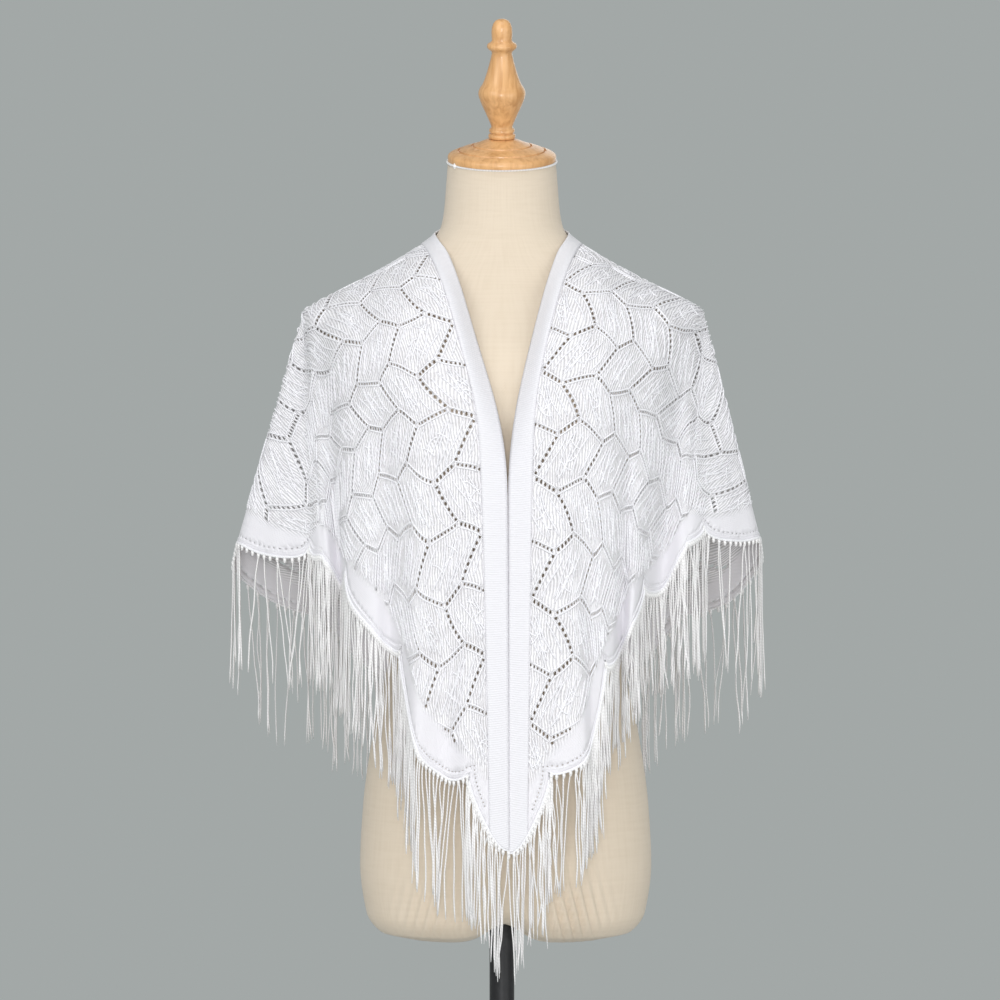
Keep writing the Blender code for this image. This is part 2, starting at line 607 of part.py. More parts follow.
def eyelets(outline, creases):
    """The largest gaps of each lace repeat, two on each long side of a leaf.

    Those that would fall on the crest or the trough of a fold are left whole.
    """
    long_sides = (((-0.0210, 0.0000), (0.0210, -0.0462)),
                  ((0.0210, 0.0157), (0.0388, 0.0588)))
    holes = []
    for row in range(-1, 14):
        for column in range(-8, 8):
            corner = np.array([REPEAT_IN * row + REPEAT_PHASE[0],
                               REPEAT_ALONG * column + REPEAT_PHASE[1] - 3 * REPEAT_ALONG])
            for start, end in long_sides:
                a, b = np.array(start) + corner, np.array(end) + corner
                along = (b - a) / np.linalg.norm(b - a)
                for share in (0.36, 0.64):
                    v, u = a + (b - a) * share
                    holes.append(((u, v), (along[1], along[0])))
    centres = np.array([h[0] for h in holes])
    keep = inside(centres, outline)
    keep &= distance_to_loop(centres, outline) > EYELET_EDGE_KEEP
    for ray, side in creases:
        line = ray_line(ray, side, np.arange(0.0, 0.75, 0.003))
        keep &= np.array([far_from(c, line, EYELET_FOLD_KEEP) for c in centres])
    return [h for h, kept in zip(holes, keep) if kept]


def eyelet_corners(hole):
    """The four corners of one eyelet, anticlockwise."""
    centre, along = np.array(hole[0]), np.array(hole[1])
    side = np.array([-along[1], along[0]])
    return [tuple(centre + along * EYELET_LONG * a + side * EYELET_WIDE * b)
            for a, b in ((-0.5, 0), (0, -0.5), (0.5, 0), (0, 0.5))]


def ray_line(ray, side, distances):
    """Flat points at given distances along one ray, on the right (1) or left (-1)."""
    start_u, start_v, angle = (float(value) for value in flat_ray(np.array(ray)))
    return np.stack([(start_u + distances * cos(angle)) * side,
                     start_v + distances * sin(angle)], axis=1)


def filling_lines(rays, sides):
    """Lines of points along rays: close over the body, further apart below."""
    upper = np.arange(1, 8) * 0.025
    lower = 0.175 + np.arange(1, 16) * 0.036
    distances = np.concatenate([upper, lower])
    return [ray_line(ray, side, distances) for side in sides for ray in rays]


def crease_rays(rows):
    """The rays of the crests and troughs in front."""
    return [row.ray for row in rows if 2.0 <= row.ray < 3.0]


def halfway_rays(rows):
    """The rays halfway between those of the rows in front."""
    rays = crease_rays(rows) + [3.0]
    return [0.5 * (a + b) for a, b in zip(rays, rays[1:])]


def table_rays(rows, parts):
    """The rays of some table rows, with each step between them cut into parts."""
    rays = [row.ray for row in rows]
    steps = [np.linspace(a, b, parts, endpoint=False) for a, b in zip(rays, rays[1:])]
    return np.concatenate(steps + [[rays[-1]]])


def far_from(point, others, least):
    """Whether a point keeps its distance from all others."""
    return not len(others) or np.min(np.linalg.norm(np.array(others) - point, axis=1)) > least


def facet_normals(points, triangles):
    """The direction between the facets that meet at each point, by their angles there."""
    corner = points[triangles]
    facing = unit(np.cross(corner[:, 1] - corner[:, 0], corner[:, 2] - corner[:, 0]))
    total = np.zeros_like(points)
    for k in range(3):
        one = unit(corner[:, (k + 1) % 3] - corner[:, k])
        two = unit(corner[:, (k + 2) % 3] - corner[:, k])
        angle = np.arccos(np.clip((one * two).sum(axis=1), -1, 1))
        np.add.at(total, triangles[:, k], facing * angle[:, None])
    return unit(total)


def wall_mesh(outline, filling, holes, thickness):
    """A wall of even thickness over a flat region with holes, draped in place."""
    loops = [list(outline)] + [eyelet_corners(h) for h in holes]
    vertices, edges, label = [], [], []
    for number, loop in enumerate(loops):
        first = len(vertices)
        vertices += loop
        label += [number] * len(loop)
        edges += [(first + k, first + (k + 1) % len(loop)) for k in range(len(loop))]
    centres = [h[0] for h in holes]
    extra = []
    for line in filling:
        free = inside(line, outline) & (distance_to_loop(line, outline) > 0.0065)
        last = None
        for point in line[free]:
            if not (far_from(point, extra, 0.0065) and far_from(point, centres, 0.0062)):
                continue
            if last is not None:
                between = np.linspace(vertices[last], point, 13)[1:-1]
                clear = inside(between, outline).all()
                clear = clear and distance_to_loop(between, outline).min() > 0.003
                if clear and all(far_from(q, centres, 0.0042) for q in between):
                    edges.append((last, len(vertices)))
            last = len(vertices)
            vertices.append(tuple(point))
            extra.append(point)
            label.append(-1)
    flat, _, triangles, sources, _, _ = delaunay_2d_cdt(
        [Vector(p) for p in vertices], edges, [], 0, 1e-7)
    flat = np.array([tuple(p) for p in flat])
    triangles = np.array(triangles)
    label = np.array([label[origin[0]] if origin else -1 for origin in sources])
    same_hole = (label[triangles] == label[triangles][:, :1]).all(axis=1) & (label[triangles[:, 0]] > 0)
    corner = flat[triangles]
    one, two = corner[:, 1] - corner[:, 0], corner[:, 2] - corner[:, 0]
    broad = np.abs(one[:, 0] * two[:, 1] - one[:, 1] * two[:, 0]) > SLIVER
    keep = inside(corner.mean(axis=1), outline) & ~same_hole & broad
    triangles = triangles[keep]
    middle = drape(flat)
    normal = facet_normals(middle, triangles)
    seamed = (np.abs(seam_distance(flat)) < 0.001) | (flat[:, 1] < BAND_WIDTH + 0.001)
    normal[seamed] = shared_normals(flat[seamed])
    outer, inner = middle + normal * thickness / 2, middle - normal * thickness / 2
    count = len(flat)
    sides = np.concatenate([triangles[:, [0, 1]], triangles[:, [1, 2]], triangles[:, [2, 0]]])
    known = {tuple(edge) for edge in sides.tolist()}
    rim = [(a, b) for a, b in sides.tolist() if (b, a) not in known]
    faces = [tuple(t) for t in triangles.tolist()]
    faces += [(c + count, b + count, a + count) for a, b, c in triangles.tolist()]
    for a, b in rim:
        if abs(flat[a, 0]) < abs(flat[b, 0]):
            faces += [(b, a, a + count), (b, a + count, b + count)]
        else:
            faces += [(b, a, b + count), (a, a + count, b + count)]
    points = np.concatenate([outer, inner])
    used = sorted({i for face in faces for i in face})
    order = {old: new for new, old in enumerate(used)}
    faces = [tuple(order[i] for i in face) for face in faces]
    return points[used], faces, np.concatenate([flat, normal], axis=1)


def build_cloth(material):
    """The lace back and fronts, and the three stretches of the plain band."""
    hem = hem_line()
    front = front_outline(hem)
    band = front_band_outline(hem)
    both = filling_lines(table_rays(BACK_HANG + LEFT_HANG[5:7], 2), (1, -1))
    wing = [1.2, 1.42, 1.63, 1.82]
    right = filling_lines(crease_rays(RIGHT_HANG) + wing + halfway_rays(RIGHT_HANG), (1,))
    left = filling_lines(crease_rays(LEFT_HANG) + wing + halfway_rays(LEFT_HANG), (-1,))
    left_creases = [(ray, -1) for ray in crease_rays(LEFT_HANG)]
    right_creases = [(ray, 1) for ray in crease_rays(RIGHT_HANG)]
    centre = back_outline(hem)
    regions = (
        ("lace_front_right", front, right, eyelets(front, right_creases)),
        ("lace_front_left", mirror_outline(front), left,
         eyelets(mirror_outline(front), left_creases)),
        ("lace_back", centre, both, eyelets(centre, [])),
    )
    facing = []
    for name, outline, filling, holes in regions:
        points, faces, directions = wall_mesh(outline, filling, holes, LACE_THICK)
        add_object(name, points, faces, material)
        facing.append(directions)
    for name, outline in (("band_front_right", band), ("band_front_left", mirror_outline(band)),
                          ("band_neck", neck_band_outline())):
        middle = np.array(edge_run(-0.8, 0.8, BAND_WIDTH / 2))
        points, faces, directions = wall_mesh(outline, [middle], [], BAND_THICK)
        add_object(name, points, faces, material)
        facing.append(directions)
    return hem, np.concatenate(facing)


# ------------------------------------------------------------------------ fringe
def strip_stations(hem):
    """Hem corners with the direction along and out of the hem, crowded ones left out."""
    forward = np.gradient(hem, axis=0)
    forward /= np.linalg.norm(forward, axis=1, keepdims=True)
    out = np.stack([forward[:, 1], -forward[:, 0]], axis=1)
    reach = STRIP_MIDDLE + STRIP_HALF
    clear = distance_to_line(hem + out * reach, hem) > reach * 0.93
    return hem[clear], forward[clear], out[clear]


def strand_ends(flat, roots):
    """Where strands end: they hang plumb, or in line with the folds in front."""
    ray, _ = find_ray(np.abs(flat[:, 0]), flat[:, 1])
    _, _, angle = flat_ray(ray)
    side = np.where(flat[:, 0] < 0, -1.0, 1.0)
    ahead = flat + 0.02 * np.stack([np.cos(angle) * side, np.sin(angle)], axis=1)
    down = drape(ahead) - roots
    down[ray < 2] = (0, 0, -1)
    down /= np.linalg.norm(down, axis=1, keepdims=True)
    return push_off_form(roots + down * STRAND_LENGTH, STRAND_CLEAR)


def strand_flags(roots, ends):
    """Which stations carry a strand: those that stand apart all the way down."""
    kept, flags = [], []
    for root, end in zip(roots, ends):
        levels = np.linspace(root, end, 9)
        apart = all(min_gap(levels, other) > STRAND_APART for other in kept[-12:])
        flags.append(apart)
        if apart:
            kept.append(levels)
    return flags


def min_gap(one, other):
    """Least distance, seen from above, between two strands where both hang."""
    low = max(one[-1, 2], other[-1, 2])
    high = min(one[0, 2], other[0, 2])
    heights = np.linspace(low, high, 5)
    places = [np.stack([np.interp(heights, line[::-1, 2], line[::-1, k]) for k in (0, 1)])
              for line in (one, other)]
    return np.linalg.norm(places[0] - places[1], axis=0).min()


def build_fringe(name, line, facing, material):
    """A narrow strip along the hem with its strands hanging from it."""
    points, forward, out = line
    nearest = [int(np.argmin(np.linalg.norm(facing[:, :2] - point, axis=1))) for point in points]
    top_normal = low_normal = facing[nearest, 2:]
    spread = forward * STRAND_HALF
    top = points + out * (STRIP_MIDDLE - STRIP_HALF)
    bottom = points + out * (STRIP_MIDDLE + STRIP_HALF)
    half = STRIP_THICK / 2
    middle = drape(bottom)
    ends = strand_ends(bottom, middle)
    flags = strand_flags(middle, ends)
    corners = {
        "top_front": drape(top) + top_normal * half,
        "top_back": drape(top) - top_normal * half,
        "low_left": drape(bottom - spread) + low_normal * half,
        "low_right": drape(bottom + spread) + low_normal * half,
        "low_back": middle - low_normal * half,
    }
    keys = list(corners)
    count = len(points)
    vertices = [corners[key][i] for key in keys for i in range(count)]

    def at(key, i):
        return keys.index(key) * count + i

    faces = []
    for i in range(count - 1):
        j = i + 1
        faces.append((at("top_front", i), at("low_right", i), at("low_left", j), at("top_front", j)))
        faces.append((at("top_back", j), at("low_back", j), at("low_back", i), at("top_back", i)))
        faces.append((at("top_front", j), at("top_back", j), at("top_back", i), at("top_front", i)))
        faces.append((at("low_right", i), at("low_back", i), at("low_back", j), at("low_left", j)))
    for i, key in ((0, "low_left"), (count - 1, "low_right")):
        face = (at("top_front", i), at("top_back", i), at("low_back", i), at(key, i))
        faces.append(face if i == 0 else face[::-1])
    for i in range(count):
        root = (at("low_left", i), at("low_right", i), at("low_back", i))
        faces.append((at("top_front", i), root[0], root[1]))
        if not flags[i]:
            faces.append(root)
            continue
        side = corners["low_right"][i] - corners["low_left"][i]
        facing = np.array([low_normal[i][0], low_normal[i][1], 0.0])
        facing /= np.linalg.norm(facing)
        level = np.array([facing[1], -facing[0], 0.0])
        level *= 1 if level @ side > 0 else -1
        end = ends[i]
        tip = len(vertices)
        vertices += [end - level * STRAND_HALF + facing * half,
                     end + level * STRAND_HALF + facing * half, end - facing * half]
        for a, b in ((0, 1), (1, 2), (2, 0)):
            faces.append((root[a], root[b], tip + b, tip + a))
        faces.append((tip, tip + 1, tip + 2))
    add_object(name, vertices, faces, material)


def build_fringes(hem, facing, material):
    """Fringe along the right front, the back and the left front."""
    line = strip_stations(hem)
    ahead = seam_distance(line[0])
    for name, part in (("fringe_right", (ahead > 0.0015) & (line[0][:, 0] > 0)),
                       ("fringe_back", ahead < -0.0015),
                       ("fringe_left", (ahead > 0.0015) & (line[0][:, 0] < 0))):
        build_fringe(name, [column[part] for column in line], facing, material)


def main():
    """Build every piece."""
    clear_scene()
    lace = make_material("white_lace", LACE)
    hem, facing = build_cloth(lace)
    build_fringes(hem, facing, lace)
    build_form(make_material("linen", LINEN))
    build_neck_wood(make_material("honey_wood", WOOD))
    build_stand(make_material("black_metal", BLACK_METAL))


main()
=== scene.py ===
"""Visual model of a white lace shawl with a knotted fringe, on a limbless dress form.

Metres, +Z up, the form faces -Y. The shawl is one flat triangle of knitted lace
that a drape rule lays over the form: straight threads of the flat cloth ("rays")
leave the neck and the shoulders, cross the body and then hang in folds.
"""

from __future__ import annotations

import logging
import math
from dataclasses import dataclass
from enum import Enum
from typing import NamedTuple

import bpy
import numpy as np
from bpy.types import Material, Node, NodeOutputs, NodeSocket, NodeTree, Object
from mathutils import Matrix, Vector
from mathutils.geometry import delaunay_2d_cdt
from mathutils.kdtree import KDTree

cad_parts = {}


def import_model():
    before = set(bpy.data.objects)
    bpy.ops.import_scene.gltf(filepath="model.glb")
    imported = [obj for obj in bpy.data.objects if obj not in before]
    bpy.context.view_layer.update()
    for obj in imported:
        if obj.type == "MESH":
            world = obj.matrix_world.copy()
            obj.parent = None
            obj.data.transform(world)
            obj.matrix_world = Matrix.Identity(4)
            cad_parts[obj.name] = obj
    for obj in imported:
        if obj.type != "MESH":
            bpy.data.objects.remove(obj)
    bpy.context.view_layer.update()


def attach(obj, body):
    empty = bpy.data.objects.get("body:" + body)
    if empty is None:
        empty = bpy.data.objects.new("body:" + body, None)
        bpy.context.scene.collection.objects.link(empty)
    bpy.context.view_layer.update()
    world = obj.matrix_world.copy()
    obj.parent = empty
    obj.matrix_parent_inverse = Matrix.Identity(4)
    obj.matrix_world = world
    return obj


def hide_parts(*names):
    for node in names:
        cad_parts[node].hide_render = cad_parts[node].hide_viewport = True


LOG = logging.getLogger("shawl")
BODY = "root"
TINY = 1e-12
BATCH = 4000              # points worked on at once, to spare memory
FLAT_SPAN = 1.65          # metres of flat cloth across the UV square
LINEN_SPAN = 1.2          # metres of linen across the UV square
KNIT_BUMP = 0.0003        # depth of knit and linen, in metres
FINE_BUMP = 0.0002        # depth of yarn ply, wood grain and powder coat
MOTTLE_SCALE = 60.0       # mottling of the white knits, in patches a metre

Color = tuple[float, float, float, float]
Place = tuple[float, float, float]


class Hang(NamedTuple):
    """Where one ray of the cloth leaves the body and where it hangs through."""

    ray: float
    x: float
    y: float
    z: float
    sweep: float
    hem_x: float
    hem_y: float
    hem_z: float
    draw: float


class Section(NamedTuple):
    """One level section of the padded form."""

    height: float
    half_width: float
    front: float
    back: float
    squareness: float


class Turned(NamedTuple):
    """One ring of a turned piece."""

    radius: float
    height: float


def table(kind: type, *rows: tuple) -> tuple:
    """Rows of one kind, from plain ones in the order of its columns."""
    return tuple(kind(*row) for row in rows)


BACK_HANG = table(
    Hang,
    (0.00, 0.000, 0.1200, 1.085, 0.080, 0.000, 0.137, 0.66, 1.00),
    (0.22, 0.050, 0.1210, 1.085, 0.080, 0.056, 0.160, 0.70, 1.00),
    (0.45, 0.098, 0.1120, 1.090, 0.070, 0.112, 0.121, 0.74, 1.00),
    (0.66, 0.142, 0.0880, 1.098, 0.060, 0.175, 0.122, 0.80, 1.00),
    (0.80, 0.172, 0.0600, 1.113, 0.050, 0.232, 0.084, 0.86, 0.99),
)
LEFT_HANG = BACK_HANG + table(
    Hang,
    (0.90, 0.192, 0.0340, 1.123, 0.030, 0.274, 0.044, 0.90, 0.95),
    (1.00, 0.209, 0.0020, 1.136, 0.012, 0.280, 0.012, 0.89, 0.93),
    (1.30, 0.209, 0.0020, 1.136, 0.012, 0.247, -0.018, 0.889, 0.985),
    (1.63, 0.209, 0.0020, 1.136, 0.012, 0.200, -0.046, 0.888, 1.04),
    (2.00, 0.209, 0.0020, 1.136, 0.012, 0.184, -0.066, 0.873, 0.99),
    (2.06, 0.203, -0.018, 1.127, 0.025, 0.179, -0.068, 0.865, 0.99),
    (2.20, 0.186, -0.044, 1.108, 0.040, 0.167, -0.055, 0.850, 1.01),
    (2.36, 0.162, -0.078, 1.082, 0.060, 0.159, -0.086, 0.840, 0.995),
    (2.50, 0.137, -0.100, 1.060, 0.080, 0.130, -0.106, 0.815, 0.985),
    (2.59, 0.120, -0.112, 1.050, 0.080, 0.115, -0.100, 0.795, 0.985),
    (2.68, 0.101, -0.125, 1.039, 0.090, 0.100, -0.118, 0.765, 0.997),
    (2.77, 0.078, -0.134, 1.030, 0.100, 0.084, -0.139, 0.710, 1.035),
    (2.84, 0.052, -0.137, 1.025, 0.100, 0.057, -0.130, 0.690, 1.042),
    (2.90, 0.031, -0.137, 1.020, 0.100, 0.033, -0.142, 0.680, 1.023),
    (3.00, -0.0058, -0.131, 0.940, 0.142, -0.0076, -0.1395, 0.600, 1.00),
)
RIGHT_HANG = BACK_HANG + table(
    Hang,
    (0.90, 0.194, 0.0340, 1.123, 0.030, 0.268, 0.044, 0.90, 0.93),
    (1.00, 0.212, 0.0020, 1.136, 0.012, 0.274, 0.012, 0.89, 0.92),
    (1.30, 0.212, 0.0020, 1.136, 0.012, 0.249, -0.018, 0.895, 0.95),
    (1.63, 0.212, 0.0020, 1.136, 0.012, 0.210, -0.046, 0.900, 0.977),
    (2.00, 0.212, 0.0020, 1.136, 0.012, 0.190, -0.066, 0.880, 0.955),
    (2.06, 0.203, -0.018, 1.127, 0.025, 0.184, -0.068, 0.865, 0.96),
    (2.20, 0.186, -0.044, 1.108, 0.040, 0.166, -0.055, 0.850, 1.03),
    (2.34, 0.165, -0.075, 1.084, 0.060, 0.146, -0.084, 0.840, 1.04),
    (2.45, 0.146, -0.093, 1.067, 0.080, 0.132, -0.104, 0.825, 1.012),
    (2.53, 0.131, -0.105, 1.056, 0.080, 0.123, -0.092, 0.805, 1.012),
    (2.61, 0.116, -0.117, 1.046, 0.090, 0.112, -0.116, 0.785, 1.018),
    (2.71, 0.097, -0.129, 1.036, 0.090, 0.098, -0.124, 0.740, 1.018),
    (2.77, 0.081, -0.133, 1.030, 0.100, 0.091, -0.125, 0.715, 1.012),
    (2.83, 0.061, -0.136, 1.025, 0.100, 0.082, -0.138, 0.700, 1.015),
    (2.90, 0.039, -0.137, 1.020, 0.100, 0.047, -0.142, 0.680, 1.02),
    (3.00, 0.0063, -0.130, 0.940, 0.142, 0.0056, -0.1380, 0.600, 1.00),
)
FORM_SECTIONS = table(
    Section,
    (0.482, 0.100, 0.055, 0.065, 2.5),
    (0.490, 0.132, 0.080, 0.092, 2.5),
    (0.510, 0.146, 0.094, 0.108, 2.4),
    (0.560, 0.1525, 0.101, 0.118, 2.3),
    (0.620, 0.1495, 0.103, 0.120, 2.2),
    (0.690, 0.1400, 0.102, 0.113, 2.2),
    (0.760, 0.1250, 0.094, 0.094, 2.2),
    (0.829, 0.1130, 0.086, 0.082, 2.2),
    (0.890, 0.1190, 0.090, 0.086, 2.2),
    (0.960, 0.1350, 0.100, 0.098, 2.2),
    (1.022, 0.1500, 0.106, 0.108, 2.3),
    (1.080, 0.1700, 0.100, 0.112, 2.3),
    (1.112, 0.1900, 0.086, 0.107, 2.2),
    (1.130, 0.1960, 0.076, 0.100, 2.1),
    (1.145, 0.1800, 0.069, 0.092, 2.0),
    (1.165, 0.1480, 0.062, 0.080, 2.0),
    (1.182, 0.1190, 0.058, 0.070, 2.0),
    (1.189, 0.1010, 0.056, 0.066, 2.0),
    (1.198, 0.0880, 0.054, 0.062, 2.0),
    (1.213, 0.0720, 0.052, 0.058, 2.0),
    (1.226, 0.0640, 0.051, 0.056, 2.0),
    (1.245, 0.0605, 0.050, 0.054, 2.0),
    (1.270, 0.0585, 0.050, 0.053, 2.0),
    (1.296, 0.0565, 0.050, 0.052, 2.0),
)
CAP_PROFILE = table(
    Turned,
    (0.0565, 0.0004), (0.0568, 0.0020), (0.0568, 0.0048), (0.0561, 0.0062), (0.0542, 0.0076),
    (0.0502, 0.0094), (0.0464, 0.0108), (0.0459, 0.0093), (0.0449, 0.0093), (0.0443, 0.0117),
    (0.0418, 0.0128), (0.0370, 0.0145), (0.0318, 0.0159), (0.0313, 0.0145), (0.0303, 0.0145),
    (0.0297, 0.0167), (0.0262, 0.0178), (0.0216, 0.0198), (0.0172, 0.0216), (0.0140, 0.0229),
)
FINIAL_PROFILE = table(
    Turned,
    (0.0130, 0.0000), (0.0140, 0.0010), (0.0142, 0.0036), (0.0134, 0.0048), (0.0120, 0.0054),
    (0.0120, 0.0062), (0.0132, 0.0070), (0.0134, 0.0094), (0.0124, 0.0106), (0.0114, 0.0114),
    (0.0112, 0.0130), (0.0122, 0.0160), (0.0142, 0.0205), (0.0168, 0.0265), (0.0194, 0.0320),
    (0.0220, 0.0380), (0.0239, 0.0430), (0.0247, 0.0465), (0.0244, 0.0500), (0.0228, 0.0535),
    (0.0203, 0.0570), (0.0178, 0.0630), (0.0152, 0.0710), (0.0130, 0.0790), (0.0112, 0.0860),
    (0.0105, 0.0895), (0.0112, 0.0918), (0.0138, 0.0936), (0.0154, 0.0955), (0.0156, 0.0975),
    (0.0146, 0.0995), (0.0116, 0.1012), (0.0104, 0.1030), (0.0107, 0.1070), (0.0109, 0.1120),
    (0.0104, 0.1165), (0.0090, 0.1205), (0.0066, 0.1235), (0.0036, 0.1249), (0.0006, 0.1253),
)
FOOT_PROFILE = table(
    Turned,
    (0.1775, 0.0000), (0.1794, 0.0006), (0.1800, 0.0024), (0.1800, 0.0094), (0.1792, 0.0112),
    (0.1774, 0.0120), (0.0600, 0.0132), (0.0420, 0.0142), (0.0350, 0.0180), (0.0315, 0.0240),
    (0.0260, 0.0340), (0.0232, 0.0420), (0.0220, 0.0450),
)


# ------------------------------------------------------------------ array helpers
def unit(vectors: np.ndarray) -> np.ndarray:
    """Scale vectors along the last axis to a length of one."""
    return vectors / np.maximum(np.linalg.norm(vectors, axis=-1, keepdims=True), TINY)


def bell(values: np.ndarray, middle: float, width: float) -> np.ndarray:
    """A bell curve of height one."""
    return np.exp(-((values - middle) / width) ** 2)


def run_along(line: np.ndarray) -> np.ndarray:
    """Distance along a line at each of its points, for one line or many."""
    steps = np.linalg.norm(np.diff(line, axis=-2), axis=-1)
    return np.concatenate([np.zeros_like(steps[..., :1]), np.cumsum(steps, axis=-1)], axis=-1)


def outward(line: np.ndarray) -> np.ndarray:
    """Directions square to a flat line, out of the cloth when it follows the hem."""
    forward = unit(np.gradient(line, axis=0))
    return np.stack([forward[:, 1], -forward[:, 0]], axis=1)


def smooth_table(rows: tuple, field: str, at: np.ndarray) -> np.ndarray:
    """Read one column of a table with a cubic curve that never overshoots its rows.

    The slope at a row is the harmonic mean of the slopes on both sides, or zero
    where they differ in sign.

    Args:
        rows: Table rows, sorted by their first column.
        field: Column to read.
        at: Places along the first column.

    Returns:
        The column's value at each place.
    """
    xs = np.array([row[0] for row in rows], dtype=float)
    ys = np.array([getattr(row, field) for row in rows], dtype=float)
    at = np.clip(at, xs[0], xs[-1])
    step = np.diff(xs)
    slope = np.diff(ys) / step
    tangent = np.concatenate(([slope[0]], np.zeros(len(xs) - 2), [slope[-1]]))
    same_way = slope[:-1] * slope[1:] > 0
    mean = 2 * slope[:-1] * slope[1:] / np.where(same_way, slope[:-1] + slope[1:], 1.0)
    tangent[1:-1] = np.where(same_way, mean, 0.0)
    i = np.clip(np.searchsorted(xs, at, side="right") - 1, 0, len(step) - 1)
    t = (at - xs[i]) / step[i]
    rise = t * t * (3 - 2 * t)
    return (ys[i] * (1 - rise) + ys[i + 1] * rise
            + step[i] * (tangent[i] * t * (1 - t) ** 2 - tangent[i + 1] * t * t * (1 - t)))


def inside(points: np.ndarray, outline: np.ndarray) -> np.ndarray:
    """Tell which points lie inside a closed outline, by counting edge crossings.

    Args:
        points: Array of shape (n, 2).
        outline: Array of shape (m, 2).

    Returns:
        One truth value a point.
    """
    following = np.roll(outline, -1, axis=0)
    rise = following[:, 1] - outline[:, 1]
    rise = np.where(np.abs(rise) < TINY, TINY, rise)
    result = np.zeros(len(points), dtype=bool)
    for first in range(0, len(points), BATCH):
        x, y = (points[first:first + BATCH, None, axis] for axis in (0, 1))
        crosses = (outline[:, 1] > y) != (following[:, 1] > y)
        at = outline[:, 0] + (y - outline[:, 1]) / rise * (following[:, 0] - outline[:, 0])
        result[first:first + BATCH] = (crosses & (x < at)).sum(axis=1) % 2 == 1
    return result


def line_distance(points: np.ndarray, line: np.ndarray) -> np.ndarray:
    """Shortest distance from each point to an open line.

    Args:
        points: Array of shape (n, 2).
        line: Array of shape (m, 2).

    Returns:
        One distance a point.
    """
    start, edge = line[:-1], np.diff(line, axis=0)
    span = np.maximum((edge ** 2).sum(axis=1), TINY)
    result = np.zeros(len(points))
    for first in range(0, len(points), BATCH):
        offset = points[first:first + BATCH, None] - start[None]
        share = np.clip((offset * edge).sum(axis=2) / span, 0, 1)
        gap = np.linalg.norm(offset - share[..., None] * edge, axis=2)
        result[first:first + BATCH] = gap.min(axis=1)
    return result


def even_points(line: np.ndarray, pitch: float) -> np.ndarray:
    """Points at an even pitch along a line, both ends kept."""
    run = run_along(line)
    at = np.linspace(0, run[-1], max(2, round(run[-1] / pitch) + 1))
    return np.stack([np.interp(at, run, line[:, k]) for k in range(line.shape[1])], axis=1)


def new_object(name: str, points: np.ndarray, faces: list | np.ndarray,
               material: Material, uv: np.ndarray | None = None) -> Object:
    """Make a smooth-shaded object whose mesh is already in place.

    Args:
        name: Name of the piece.
        points: Array of shape (n, 3).
        faces: Vertex indices of each face.
        material: The piece's finish.
        uv: One UV place a vertex, or nothing.

    Returns:
        The new object.
    """
    mesh = bpy.data.meshes.new(name)
    mesh.from_pydata(np.asarray(points, dtype=float).tolist(), [],
                     faces.tolist() if isinstance(faces, np.ndarray) else faces)
    if uv is not None:
        layer = mesh.uv_layers.new(name="flat")
        corner = np.zeros(len(mesh.loops), dtype=np.int32)
        mesh.loops.foreach_get("vertex_index", corner)
        layer.data.foreach_set("uv", np.asarray(uv, dtype=np.float32)[corner].ravel())
    mesh.materials.append(material)
    mesh.shade_smooth()
    mesh.update()
    item = bpy.data.objects.new(name, mesh)
    bpy.context.scene.collection.objects.link(item)
    return item


def thicken(piece: Object, thickness: float) -> None:
    """Give a sheet its thickness, half on each side."""
    wall = piece.modifiers.new("thickness", "SOLIDIFY")
    wall.thickness = thickness
    wall.offset = 0.0


def grid_faces(rows: int, columns: int, closed: bool) -> np.ndarray:
    """Quads of a grid of rows by columns, closed across the columns or open."""
    row = np.arange(rows - 1)[:, None] * columns
    column = np.arange(columns if closed else columns - 1)[None]
    following = (column + 1) % columns
    return np.stack([row + column, row + following, row + columns + following,
                     row + columns + column], axis=-1).reshape(-1, 4)


